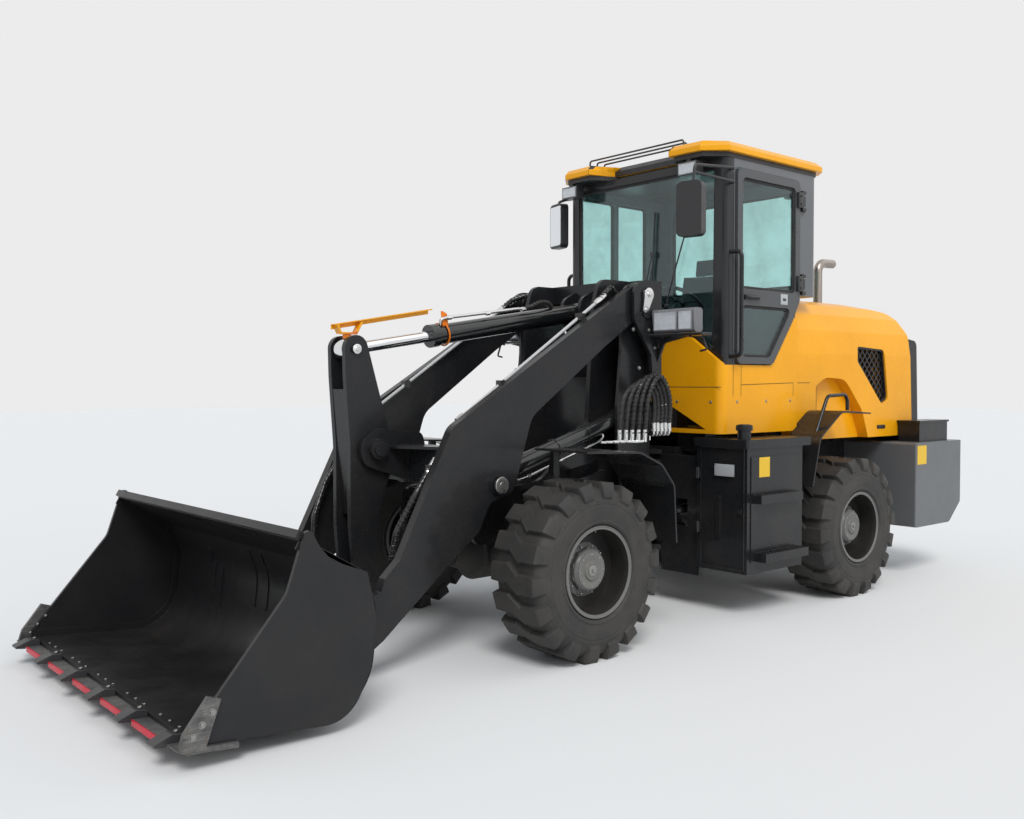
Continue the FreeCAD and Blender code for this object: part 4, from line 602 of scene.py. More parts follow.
def tyre_shape():
    """Tyre about the origin, outer side towards +Y: carcass with sidewall rings and zigzag lugs."""
    shape = Shape()
    side = [(166, 263), (170, 277), (184, 284), (192, 292), (196, 300), (196, 306), (192, 311), (195, 330),
            (198, 360), (198, 396), (195, 401), (195, 405), (197, 409), (194, 428), (188, 452), (179, 476),
            (165, 494), (146, 504), (120, 507), (60, 508)]
    profile = side + [(-y, r) for y, r in side[::-1]]
    shape.turn(profile + [(profile[-1][0], 262), (profile[0][0], 262)], (0, 0, 0), (0, 1, 0), 108, loop=True)
    # Stations of a lug: carcass point, crown point, middle along the tread, half width
    rows = [(190, 440, 196, 438, 27, 44), (188, 448, 203, 447, 27, 47), (184, 462, 205, 466, 27, 49),
            (176, 480, 201, 490, 27, 52), (166, 490, 193, 515, 27, 54), (158, 496, 184, 532, 27, 56),
            (150, 500, 178, 536.8, 27, 57), (140, 502, 165, 537.5, 27, 58), (90, 505, 90, 537.5, 27, 59),
            (62, 506, 62, 537.5, 25, 59), (48, 506, 48, 537.5, 36, 58), (20, 506, 20, 537.5, 14, 58),
            (0, 506, 0, 537.5, 0, 58)]
    full = rows + [(-a, b, -c, d, -m, w) for a, b, c, d, m, w in rows[-2::-1]]
    for i in range(LUGS):
        turn = (i + 0.5) * 2 * math.pi / LUGS
        rings = []
        for cy, cr, ly, lr, middle, wide in full:
            ring = []
            base, top = (cy * 0.97, cr - 8), (ly, lr)
            low = (top[0] * 0.82 + base[0] * 0.18, top[1] * 0.82 + base[1] * 0.18)
            for (y, r), half in ((base, wide + 5), (low, wide), (top, wide - 5)):
                ring.append((y, r, middle - half))
            for (y, r), half in ((top, wide - 5), (low, wide), (base, wide + 5)):
                ring.append((y, r, middle + half))
            rings.append([(r * math.sin(turn + s / 537.5), y, r * math.cos(turn + s / 537.5)) for y, r, s in ring])
        shape.skin(rings)
    # Sidewall blocks between the lugs' feet
    for i in range(LUGS):
        turn = i * 2 * math.pi / LUGS + 27 / 537.5
        for sign in (1, -1):
            rings = []
            for y, r, half in ((186, 436, 0.030), (196, 430, 0.034), (197, 418, 0.030), (190, 412, 0.026)):
                rings.append([(r * math.sin(turn + a), sign * y, r * math.cos(turn + a))
                              for a in (-half, half)] +
                             [((r - 5) * math.sin(turn + a), sign * (y - 8), (r - 5) * math.cos(turn + a))
                              for a in (half, -half)])
            shape.skin(rings)
    return shape


def wheel_pieces():
    """Tyres, wheel nuts and hub covers."""
    for name, x, sign in WHEELS:
        tyre = tyre_shape()
        if sign < 0:
            tyre.flip()
        tyre.shift(Vector((x, sign * 927, 537.5)))
        tyre.done("tread_" + name, "tyre", "wheel_" + name, "tyre", angle=28, replaces=["tyre_" + name])
        nuts = Shape()
        for i in range(10):
            turn = 2 * math.pi * (i + 0.5) / 10
            at = (146 * math.sin(turn), 49, 146 * math.cos(turn))
            nuts.bolt(at, (0, 1, 0), 13, 1.3)
            nuts.turn([(12, 7), (26, 7), (28, 5.5)], at, (0, 1, 0), 10)
        for i in range(8):
            turn = 2 * math.pi * i / 8
            nuts.bolt((97 * math.sin(turn), 111.5, 97 * math.cos(turn)), (0, 1, 0), 8.5, 1.3)
        nuts.turn([(126, 34), (130, 34), (131, 30)], (0, 0, 0), (0, 1, 0), 32)
        nuts.turn([(130, 11), (140, 11), (141, 9)], (0, 0, 0), (0, 1, 0), 6)
        nuts.tube(bent_path([(0, 90, 246), (0, 120, 232), (0, 150, 236)], 12), 4, 8)
        if sign < 0:
            nuts.flip()
        nuts.shift(Vector((x, sign * 927, 537.5)))
        nuts.done("wheel_nuts_" + name, "nut", "wheel_" + name, "rim_grey")
        hub = Shape()
        lobes = []
        for k in range(120):
            turn = 2 * math.pi * k / 120
            wave = max(0.0, math.cos(turn * 10)) ** 2
            lobes.append((turn, 129 + 7 * wave))
        hub.skin([[(r * math.sin(t), y, r * math.cos(t)) for t, r in lobes] for y in (70, 92)])
        hub.turn([(112, 112), (117, 110), (118, 84), (116, 80), (116, 62), (121, 58), (126, 56), (126.5, 40), (112.5, 40)],
                 (0, 0, 0), (0, 1, 0), 64, loop=True)
        hub.turn([(176, 262), (186, 268), (187, 274), (181, 276), (176, 274)], (0, 0, 0), (0, 1, 0), 108, loop=True)
        if sign < 0:
            hub.flip()
        hub.shift(Vector((x, sign * 927, 537.5)))
        hub.done("hub_cover_" + name, "hub", "wheel_" + name, "rim_grey")


# Lamps and mirrors

def lamp_face(name, corner, wide, tall, facing, cells, body):
    """Lens with a bezel and reflector cups. The corner is the lower inner one, the face lies in Y and Z."""
    x, y, z = corner
    sx = facing
    bezel = Shape()
    outer = [(y, z), (y + wide, z), (y + wide, z + tall), (y, z + tall)]
    rim = 8
    inner = [(y + math.copysign(rim, wide), z + rim), (y + wide - math.copysign(rim, wide), z + rim),
             (y + wide - math.copysign(rim, wide), z + tall - rim), (y + math.copysign(rim, wide), z + tall - rim)]
    rings = [[(x, a, b) for a, b in outer], [(x + sx * 7, a, b) for a, b in outer],
             [(x + sx * 9, a, b) for a, b in inner], [(x + sx * 1, a, b) for a, b in inner]]
    bezel.skin(rings, caps=False, loop=True)
    bezel.done(name + "_bezel", "lamp_rim", body, "lamp", bevel=1.2)
    cups = Shape()
    across, up = cells
    step_y = (inner[1][0] - inner[0][0]) / across
    step_z = (tall - 2 * rim) / up
    for i in range(across):
        for k in range(up):
            cy = inner[0][0] + step_y * (i + 0.5)
            cz = z + rim + step_z * (k + 0.5)
            hy, hz = abs(step_y) * 0.48, step_z * 0.48
            square = [(cy - hy, cz - hz), (cy + hy, cz - hz), (cy + hy, cz + hz), (cy - hy, cz + hz)]
            small = [(cy + (a - cy) * 0.30, cz + (b - cz) * 0.30) for a, b in square]
            middle = [(cy + (a - cy) * 0.62, cz + (b - cz) * 0.62) for a, b in square]
            cups.skin([[(x + sx * 5.5, a, b) for a, b in square], [(x + sx * 2.6, a, b) for a, b in middle],
                       [(x + sx * 1.2, a, b) for a, b in small], [(x + sx * 0.2, a, b) for a, b in small],
                       [(x + sx * 0.2, a, b) for a, b in square]], loop=True)
            cups.turn([(0.1, hz * 0.36), (2.2, hz * 0.30), (3.0, hz * 0.14)], (x + sx * 0.4, cy, cz), (sx, 0, 0), 10)
    # The cups' pale colour is painted reflection in place of a mirror finish.
    cups.done(name + "_cups", "reflector", body, "lamp", angle=20)
    lens = Shape()
    shown = [(a + (cy0 - a) * 0.004, b) for (a, b), cy0 in zip(inner, [y + wide / 2] * 4)]
    lens.slab(shown, "x", x + sx * 6.6, x + sx * 8.2)
    lens.done(name + "_lens", "lens", body, "lamp")


def lamps():
    """Lenses of the head lamps, the turn lamps and the work lamps."""
    for side, sign in (("left", 1), ("right", -1)):
        lamp_face("head_lamp_" + side, (-969, sign * 676, 2010), sign * 206, 134, 1, (4, 3), "front")
        lamp_face("turn_lamp_" + side, (-969, sign * 890, 2010), sign * 120, 134, 1, (2, 3), "front")
        stay = Shape()
        stay.tube(bent_path([(-1040, sign * 1040, 1990), (-1040, sign * 1040, 1960), (-1040, sign * 1076, 1880),
                             (-1040, sign * 1020, 1870)], 18), 7, 10)
        stay.bolt((-1010, sign * 720, 1971.5), (0, 0, -1), 9)
        stay.bolt((-1010, sign * 960, 1971.5), (0, 0, -1), 9)
        stay.done("lamp_stay_" + side, "black", "front", "black_steel")
    lamp_face("work_lamp_front_left", (-1454, 480, 3162), 160, 86, 1, (4, 3), "rear")
    lamp_face("work_lamp_front_right", (-1454, -740, 3162), 160, 86, 1, (4, 3), "rear")
    lamp_face("work_lamp_rear_left", (-2820, 496, 3155), 128, 80, -1, (4, 3), "rear")
    lamp_face("work_lamp_rear_right", (-2820, -624, 3155), 128, 80, -1, (4, 3), "rear")


def mirror_glass():
    """Panes in the two mirror housings."""
    for name, middle, turn, low, high, facing in (("left", (-1150, 846), 12, 2668, 3017, -1),
                                                  ("right", (-1590, -925), -14, 2803, 3147, 1)):
        shape = Shape()
        outline = []
        for cy, cz, start in ((70, high - 25, 0), (-70, high - 25, 90), (-70, low + 25, 180), (70, low + 25, 270)):
            for k in range(5):
                a = math.radians(start + k * 22.5)
                outline.append((cy + 16 * math.cos(a), cz + 16 * math.sin(a)))
        rings = []
        cos, sin = math.cos(math.radians(turn)), math.sin(math.radians(turn))
        for depth, grow in ((34.5, 1.0), (37.5, 0.995)):
            x = facing * depth
            rings.append([(middle[0] + x * cos - y * grow * sin, middle[1] + x * sin + y * grow * cos, z)
                          for y, z in outline])
        shape.skin(rings)
        shape.done("mirror_glass_" + name, "mirror", "rear", "glass")


# Cab

def outline_loops(node, axis):
    """Closed outlines of the flat faces of a node that look along an axis."""
    bm = bmesh.new()
    bm.from_mesh(nodes[node].data)
    bmesh.ops.remove_doubles(bm, verts=bm.verts, dist=1e-5)
    bm.normal_update()
    shown = {f.index for f in bm.faces if f.normal.dot(Vector(axis)) > 0.99}
    edges = [e for e in bm.edges if sum(f.index in shown for f in e.link_faces) == 1]
    near = {}
    for e in edges:
        first, second = e.verts[0].index, e.verts[1].index
        near.setdefault(first, []).append(second)
        near.setdefault(second, []).append(first)
    loops = []
    left = set(near)
    while left:
        loop = [left.pop()]
        while True:
            onward = [n for n in near[loop[-1]] if n in left]
            if not onward:
                break
            loop.append(onward[0])
            left.discard(onward[0])
        bm.verts.ensure_lookup_table()
        loops.append([bm.verts[i].co.copy() for i in loop])
    bm.free()
    return loops


def seals():
    """Rubber round the panes' outlines, on the faces that look along each given axis."""
    for name, node, axis, body in (("windscreen_seal", "cab_glass", (1, 0, 0), "rear"),
                                   ("rear_window_seal", "cab_glass", (-1, 0, 0), "rear"),
                                   ("side_window_seal", "cab_glass", (0, -1, 0), "rear"),
                                   ("door_seal", "door_glass", (0, 1, 0), "door")):
        shape = Shape()
        for loop in outline_loops(node, axis):
            if len(loop) < 4:
                continue
            points = [Vector(((p.x - AXLE_X) * 1000, p.y * 1000, p.z * 1000)) for p in loop]
            rows = frames(points + points[:1])
            away = Vector(axis)
            middle = sum(points, Vector()) / len(points)
            rings = []
            for i, point in enumerate(points):
                before, after = points[i - 1], points[(i + 1) % len(points)]
                tangent = (after - before).normalized()
                inward = away.cross(tangent)
                if inward.dot(middle - point) < 0:
                    inward = -inward
                rings.append([point + inward * a + away * b for a, b in ((-1, -1), (20, -1), (19, 4), (8, 7), (-1, 5))])
            shape.skin(rings, caps=False, loop=True)
        shape.done(name, "seal", body, "black_plastic")


def cab_trim():
    """Wiper, roof notch trim, door handle, lock, hinge covers and hinge bolts."""
    wiper = Shape()
    glass = -1594
    wiper.tube([(glass - 14, -60, 2050), (glass + 6, -60, 2050)], 16, 16)
    wiper.tube([(glass - 14, 0, 2050), (glass + 6, 0, 2050)], 12, 16)
    wiper.tube(smooth_path([(glass + 2, -60, 2050), (glass + 8, -10, 2250), (glass + 4, 70, 2500), (glass, 104, 2640)], 5), 5, 8)
    wiper.tube(smooth_path([(glass + 2, 0, 2050), (glass + 8, 40, 2250), (glass + 4, 100, 2500), (glass, 122, 2640)], 5), 4, 8)
    wiper.block((glass - 4, 92, 2620), (glass + 8, 134, 2660))
    wiper.slab([(94, 2330), (100, 2330), (134, 2960), (128, 2960)], "x", glass - 12, glass + 2)
    wiper.slab([(90, 2330), (94, 2330), (128, 2960), (124, 2960)], "x", glass - 17, glass - 4)
    wiper.tube(smooth_path([(glass - 2, 250, 2240), (glass + 8, 290, 2360), (glass + 6, 380, 2620), (glass, 430, 2770)], 5), 6, 8)
    wiper.tube([(glass - 14, 250, 2240), (glass + 6, 250, 2240)], 13, 16)
    wiper.done("wiper", "plastic", "rear", "black_plastic", bevel=0.8)
    trim = Shape()
    edge = [(-1428, 413), (-1668, 352), (-1668, -352), (-1428, -413)]
    rings = []
    for x, y in edge:
        slope = 0.6 if abs(y) > 400 else 0.0
        rings.append([(x + 5, y, 3311), (x + 5, y, 3350), (x - 30, y + math.copysign(20 * slope, y), 3387),
                      (x - 34, y + math.copysign(20 * slope, y), 3385), (x, y, 3347), (x, y, 3311)])
    trim.skin(rings)
    trim.done("roof_notch_trim", "plastic", "rear", "black_plastic")
    door = Shape()
    face = 820
    door.slab([(-1790, 2262), (-1790, 2306), (-1975, 2302), (-1975, 2266)], "y", face, face + 3)
    door.tube(bent_path([(-1800, face + 20, 2284), (-1815, face + 32, 2284), (-1940, face + 30, 2284),
                         (-1965, face + 4, 2284)], 20), 9, 12)
    door.done("door_handle", "plastic", "door", "black_plastic", bevel=1)
    lock = Shape()
    lock.slab([(-2235, 2250), (-2235, 2330), (-2325, 2330), (-2325, 2250)], "y", face, face + 5)
    lock.done("door_lock_plate", "plate", "door", "grey_paint", bevel=2)
    slot = Shape()
    slot.slab([(-2262, 2280), (-2262, 2298), (-2300, 2298), (-2300, 2280)], "y", face + 4, face + 8)
    slot.done("door_lock", "plastic", "door", "black_plastic", bevel=1)
    covers = Shape()
    for z in (3060, 2420):
        covers.slab([(-2440, z - 58), (-2498, z - 58), (-2498, z + 58), (-2440, z + 58)], "y", 821, 843)
        for dz in (-30, 30):
            covers.bolt((-2468, 843, z + dz), (0, 1, 0), 8)
    covers.done("hinge_covers", "plastic", "door", "black_plastic", bevel=2)
    leaf = Shape()
    for z in (3060, 2420):
        for dz in (-48, 48):
            leaf.bolt((-2555, 812, z + dz), (0, 1, 0), 7)
    leaf.done("hinge_bolts", "nut", "rear", "black_steel")


def seams():
    """Joints between the cab's and the hood's panels, screws and latches."""
    gap = Shape()
    side = 800.2
    for a, b in (((-1688, 1560), (-1688, 1900)), ((-1782, 1560), (-1782, 1786)), ((-1782, 1645), (-2440, 1660)),
                 ((-2440, 1560), (-2440, 1660))):
        run = (Vector(b) - Vector(a)).normalized()
        off = Vector((-run.y, run.x)) * 2.2
        gap.slab([tuple(Vector(a) + off), tuple(Vector(b) + off), tuple(Vector(b) - off), tuple(Vector(a) - off)],
                 "y", side - 2, side + 0.5)
    gap.across()
    gap.slab([(-790, 1626), (790, 1626), (790, 1631), (-790, 1631)], "x", -1562, -1559.4)
    gap.done("cab_panel_joints", "gap", "rear", "yellow_paint")
    hood = Shape()
    for a, b in (((-2790, 1215), (-2790, 1640)), ((-2700, 1660), (-2530, 1660))):
        run = (Vector(b) - Vector(a)).normalized()
        off = Vector((-run.y, run.x)) * 2.2
        hood.slab([tuple(Vector(a) + off), tuple(Vector(b) + off), tuple(Vector(b) - off), tuple(Vector(a) - off)],
                  "y", 778, 780.6)
    hood.across()
    hood.done("hood_panel_joints", "gap", "rear", "yellow_paint")
    screws = Shape()
    for x, z in ((-1735, 1522), (-2090, 1524), (-2400, 1524)):
        screws.turn([(0, 11), (2, 11), (5, 7), (6, 3)], (x, 800, z), (0, 1, 0), 16)
    screws.across()
    for y in (-700, -386, 386, 700):
        screws.turn([(0, 11), (2, 11), (5, 7), (6, 3)], (-1560, y, 1520), (1, 0, 0), 16)
    screws.done("panel_screws", "nut", "rear", "pipe_steel")
    latch = Shape()
    latch.slab([(-3720, 1268), (-3720, 1300), (-3850, 1300), (-3850, 1268)], "y", 779.5, 785)
    latch.slab([(-3735, 1276), (-3735, 1292), (-3810, 1292), (-3810, 1276)], "y", 785, 792)
    latch.across()
    latch.done("hood_latches", "plastic", "rear", "black_plastic", bevel=2)


# Boxes and plates between the wheels

def body_trim():
    """Blank plates, caps, lids' edges, tread strips and hinges on the rear body."""
    plates = Shape()
    plates.slab([(784, 1000), (955, 1000), (955, 1085), (784, 1085)], "x", -1501, -1498.5)
    plates.done("tank_plate", "plate", "rear", "grey_paint", bevel=0.8)
    rivets = Shape()
    for y, z in ((792, 1008), (947, 1008), (792, 1077), (947, 1077)):
        rivets.turn([(0, 4), (1.5, 3.5), (2.2, 1.5)], (-1498.5, y, z), (1, 0, 0), 10)
    rivets.done("tank_plate_rivets", "nut", "rear", "pipe_steel")
    labels = Shape()
    labels.slab([(-1650, 995), (-1650, 1135), (-1775, 1135), (-1775, 995)], "y", 1056.5, 1057.6)
    labels.slab([(-3905, 965), (-3905, 1125), (-4060, 1125), (-4060, 965)], "y", 1050.0, 1051.2)
    labels.done("blank_labels", "label", "rear", "yellow_paint")
    treads = Shape()
    for x0, x1, z, outer in ((-2085, -1580, 875, 1128), (-2125, -1605, 468, 1150)):
        for k in range(14):
            x = x0 + 24 + (x1 - x0 - 48) * k / 13
            treads.block((x - 5, 1068, z - 0.5), (x + 5, outer - 8, z + 4))
        for k in range(2):
            y = 1080 + k * 40
            treads.block((x0 + 10, y - 3, z - 0.5), (x1 - 10, y + 3, z + 3))
    treads.across()
    treads.done("step_ribs", "black", "rear", "black_steel", bevel=0.8)
    door = Shape()
    ring = [(660, 350), (1040, 350), (1040, 1200), (660, 1200)]
    small = [(665, 355), (1035, 355), (1035, 1195), (665, 1195)]
    door.skin([[(-1501, a, b) for a, b in ring], [(-1498, a, b) for a, b in ring],
               [(-1498, a, b) for a, b in small], [(-1501, a, b) for a, b in small]], caps=False, loop=True)
    for z in (1010, 620):
        door.turn([(-38, 12.5), (38, 12.5)], (-1492, 640, z), (0, 0, 1), 16)
        door.turn([(-42, 8), (42, 8)], (-1492, 640, z), (0, 0, 1), 12)
    door.turn([(0, 16), (4, 16), (6, 12)], (-1501, 1010, 760), (1, 0, 0), 24)
    door.across()
    door.done("locker_trim", "dark", "rear", "black_steel")
    cap = Shape()
    for k in range(28):
        turn = 2 * math.pi * k / 28
        cap.block((-1620 + 55 * math.cos(turn) - 3, 950 + 55 * math.sin(turn) - 3, 1322),
                  (-1620 + 55 * math.cos(turn) + 3, 950 + 55 * math.sin(turn) + 3, 1354))
    cap.turn([(1361, 40), (1366, 38), (1367, 12)], (-1620, 950, 0), (0, 0, 1), 32)
    cap.across()
    cap.done("filler_caps", "plastic", "rear", "black_plastic", bevel=1)


def rear_trim():
    """Tail lamps, tow pin, radiator mesh and bolts at the back."""
    for side, sign in (("left", 1), ("right", -1)):
        lamp = Shape()
        lamp.slab([(sign * 800, 965), (sign * 960, 965), (sign * 960, 1045), (sign * 800, 1045)], "x", -4722, -4714)
        lamp.done("tail_lamp_" + side, "plastic", "rear", "lamp", bevel=3)
        red = Shape()
        red.slab([(sign * 808, 973), (sign * 898, 973), (sign * 898, 1037), (sign * 808, 1037)], "x", -4725, -4720)
        for k in range(7):
            y = sign * (816 + k * 12)
            red.slab([(y - 1, 975), (y + 1, 975), (y + 1, 1035), (y - 1, 1035)], "x", -4726.4, -4724)
        red.done("tail_lens_" + side, "red_lens", "rear", "lamp", bevel=1.5)
        turn = Shape()
        turn.slab([(sign * 904, 973), (sign * 952, 973), (sign * 952, 1037), (sign * 904, 1037)], "x", -4725, -4720)
        turn.done("tail_turn_lens_" + side, "amber", "rear", "lamp", bevel=1.5)
    pin = Shape()
    pin.turn([(690, 23), (942, 23), (945, 20)], (-4650, 0, 0), (0, 0, 1), 28)
    pin.turn([(942, 34), (950, 34), (952, 30)], (-4650, 0, 0), (0, 0, 1), 28)
    pin.tube(bent_path([(-4650, 0, 950), (-4650, 0, 985), (-4650, 46, 985), (-4650, 46, 965)], 12), 6, 10)
    pin.done("tow_pin_trim", "nut", "rear", "pipe_steel")
    mesh = Shape()
    for k in range(46):
        y = -585 + 26 * k
        mesh.slab([(y - 1.5, 1252), (y + 1.5, 1252), (y + 1.5, 1948), (y - 1.5, 1948)], "x", -4562, -4556)
    for k in range(27):
        z = 1262 + 26 * k
        mesh.slab([(-588, z - 1.5), (588, z - 1.5), (588, z + 1.5), (-588, z + 1.5)], "x", -4560, -4555)
    mesh.done("radiator_mesh", "dark", "rear", "black_steel")
    bolts = Shape()
    for y in (-614, 614):
        for z in (1330, 1600, 1870):
            bolts.bolt((-4620, y, z), (-1, 0, 0), 9)
    bolts.done("rear_bolts", "nut", "rear", "black_steel")


# Front frame and linkage

def linkage_trim():
    """Pin caps, keeper plates, bolts and grease points."""
    boom = Shape()
    px, pz = 360, 1040
    boom.turn([(0, 52), (10, 52), (13, 48)], (px, 634, pz), (0, 1, 0), 36)
    boom.turn([(12, 20), (18, 18)], (px, 634, pz), (0, 1, 0), 24)
    boom.across()
    boom.done("lift_pin_caps", "nut", "boom", "pipe_steel")
    keeper = Shape()
    outline = []
    for k in range(15):
        a = math.radians(-20 + k * 220 / 14)
        outline.append((-938 + 46 * math.cos(a), 2262 + 46 * math.sin(a)))
    outline += [(-930, 2150), (-900, 2135), (-878, 2150)]
    keeper.slab(outline, "y", 652, 662)
    keeper.bolt((-938, 662, 2262), (0, 1, 0), 15)
    keeper.bolt((-904, 662, 2158), (0, 1, 0), 10)
    keeper.across()
    keeper.done("pivot_keepers", "bright", "front", "pipe_steel", bevel=1.5)
    rocker = Shape()
    for x, z, r in ((1046, 1860, 30), (926, 1260, 46)):
        for y in (110, 112):
            rocker.turn([(0, r), (8, r), (10, r - 5)], (x, y, z), (0, 1, 0), 36)
        rocker.turn([(9, r * 0.45), (14, r * 0.4)], (x, 112, z), (0, 1, 0), 24)
    rocker.across()
    rocker.done("rocker_pin_caps", "bright", "rocker", "pipe_steel")
    bucket = Shape()
    for x, z, y, r in ((1420, 300, 690, 50), (1545, 540, 96, 30)):
        bucket.turn([(0, r), (8, r), (10, r - 5)], (x, y, z), (0, 1, 0), 36)
        bucket.bolt((x + r * 0.5, y + 9, z), (0, 1, 0), 7)
    bucket.across()
    bucket.done("bucket_pin_caps", "nut", "bucket", "pipe_steel")


def tilt_trim():
    """Bracket, oil tube and clamps on the tilt cylinder."""
    run = Vector((1046 + 915, 0, 1860 - 2175)).normalized()
    up = Vector((-run.z, 0, run.x))
    start = Vector((-915, 0, 2175))

    def spot(along, lift, y=0.0):
        return start + run * along + up * lift + Vector((0, y, 0))

    pipe = Shape()
    pipe.tube(bent_path([spot(1290, 60, 30), spot(1290, 100, 44), spot(1240, 104, 50), spot(880, 96, 50), spot(640, 92, 50),
                         spot(560, 84, 50)], 24), 11, 14)
    for along in (1225, 900, 580):
        lift = 84 + (along - 560) * 0.028
        pipe.tube([spot(along - 18, lift, 50), spot(along + 18, lift, 50)], 16, 6)
    pipe.done("tilt_oil_tubes", "bright", "tilt_barrel", "pipe_steel")
    clamp = Shape()
    ring = [spot(1255, 74 * math.cos(a), 74 * math.sin(a)) for a in (2 * math.pi * k / 40 for k in range(41))]
    clamp.tube(ring, 6, 8)
    clamp.slab([(p.x, p.z) for p in (spot(1230, 50), spot(1230, 128), spot(1262, 150), spot(1275, 150), spot(1275, 50))],
               "y", 34, 40)
    clamp.slab([(p.x, p.z) for p in (spot(1225, 66), spot(1225, 76), spot(1278, 76), spot(1278, 66))], "y", -34, 34)
    clamp.done("tilt_bracket", "orange", "tilt_barrel", "black_steel", bevel=1)
    hose = Shape()
    route = smooth_path([spot(575, 85, 50), spot(500, 96, 54), spot(420, 112, 56), spot(340, 100, 44), spot(296, 62, 30)], 6)
    hose.tube(route, 14, 12)
    hose.done("tilt_hose", "hose", "tilt_barrel", "hose")
    guard = Shape()
    guard.wrap(route, 15.5, 3.2, 26)
    guard.done("tilt_hose_guard", "guard", "tilt_barrel", "hose")


def arm_hoses():
    """Spiral guards and clamps on the hoses of the arms."""
    guard = Shape()
    y = 508
    guard.wrap(bent_path([(800, y, 1156), (905, y, 1010), (1010, y - 40, 800), (1030, y - 60, 640)], 110, 12), 18.5, 4.2, 30)
    guard.wrap(bent_path([(-610, y, 2216), (-700, y - 10, 2285), (-790, 440, 2320), (-880, 425, 2250)], 50, 12),
               18.5, 4.2, 30)
    guard.across()
    guard.done("arm_hose_guards", "guard", "boom", "hose")
    collars = Shape()
    for a, b in (((-640, y, 2236), (-585, y, 2200)), ((770, y, 1196), (805, y, 1150)), ((560, y, 1457), (590, y, 1437))):
        collars.tube([a, b], 20, 6)
        collars.tube([Vector(a).lerp(Vector(b), -0.35), Vector(a).lerp(Vector(b), 1.35)], 18.5, 20)
    collars.across()
    collars.done("arm_hose_collars", "bright", "boom", "pipe_steel")


def frame_trim():
    """Hose arches, steel elbows and bolts beside the tower."""
    hoses = Shape()
    fittings = Shape()
    guard = Shape()
    # Columns: front foot x, rear foot x, top z, y, spiral guard
    rows = [(-640, -990, 1650, 664, False), (-690, -1015, 1672, 676, False), (-735, -1040, 1690, 690, True),
            (-780, -1062, 1702, 706, True), (-825, -1082, 1690, 724, True)]
    for front, rear, top, y, guarded in rows:
        span = rear - front
        route = smooth_path([(front, y, 1322), (front - 6, y + 4, 1420), (front + span * 0.10, y + 8, 1560),
                             (front + span * 0.36, y + 10, top - 12), (front + span * 0.64, y + 8, top),
                             (front + span * 0.92, y + 4, 1590), (rear, y, 1480), (rear + 4, y - 4, 1380)], 7)
        hoses.tube(route, 15.5, 14)
        if guarded:
            guard.wrap(route, 17.5, 4.2, 30)
        else:
            guard.wrap(route, 16.5, 2.4, 46)
        fittings.tube([(front, y, 1262), (front, y, 1325)], 15.5, 6)
        fittings.tube([(front, y, 1290), (front, y, 1345)], 16.5, 20)
        fittings.tube(bent_path([(front, y, 1300), (front, y, 1268), (front + 70, y - 22, 1264), (front + 150, y - 26, 1268)],
                                26), 10, 12)
        fittings.tube([(rear + 4, y - 4, 1340), (rear + 4, y - 4, 1386)], 16.5, 20)
        fittings.tube([(rear + 4, y - 4, 1326), (rear + 4, y - 4, 1346)], 17, 6)
        fittings.tube(bent_path([(rear + 4, y - 4, 1340), (rear + 4, y - 4, 1304), (rear + 4, 646, 1300)], 22), 11, 12)
    hoses.done("hose_arches", "hose", "front", "hose")
    guard.done("hose_guards", "guard", "front", "hose")
    fittings.done("hose_fittings", "bright", "front", "pipe_steel")
    bolts = Shape()
    for x, z in ((-800, 2020), (-960, 2020), (-860, 1760), (-960, 1640), (-1020, 1900)):
        bolts.bolt((x, 640, z), (0, 1, 0), 10)
    bolts.across()
    bolts.done("tower_bolts", "nut", "front", "black_steel")


def lift_trim():
    """Oil tubes on the lift cylinders."""
    base = Vector((-870, 440, 1420))
    tip = Vector((360, 440, 1040))
    run = (tip - base).normalized()
    down = Vector((run.z, 0, -run.x))
    pipe = Shape()

    def spot(along, drop, y):
        return base + run * along + down * drop + Vector((0, y, 0))

    pipe.tube(bent_path([spot(1040, 40, 30), spot(1040, 74, 34), spot(990, 84, 36), spot(260, 84, 36), spot(210, 70, 30),
                         spot(210, 45, 20)], 20), 8, 12)
    for along in (930, 640, 360):
        pipe.tube([spot(along - 12, 84, 36), spot(along + 12, 84, 36)], 12, 6)
    pipe.across()
    pipe.done("lift_oil_tubes", "bright", "lift_barrels", "pipe_steel")
    rings = Shape()
    for along in (640, 360):
        ring = [spot(along, 60 * math.cos(a), 60 * math.sin(a)) for a in (2 * math.pi * k / 36 for k in range(37))]
        rings.tube(ring, 4, 6)
    rings.across()
    rings.done("lift_tube_clamps", "dark", "lift_barrels", "dark_steel")


# Bucket

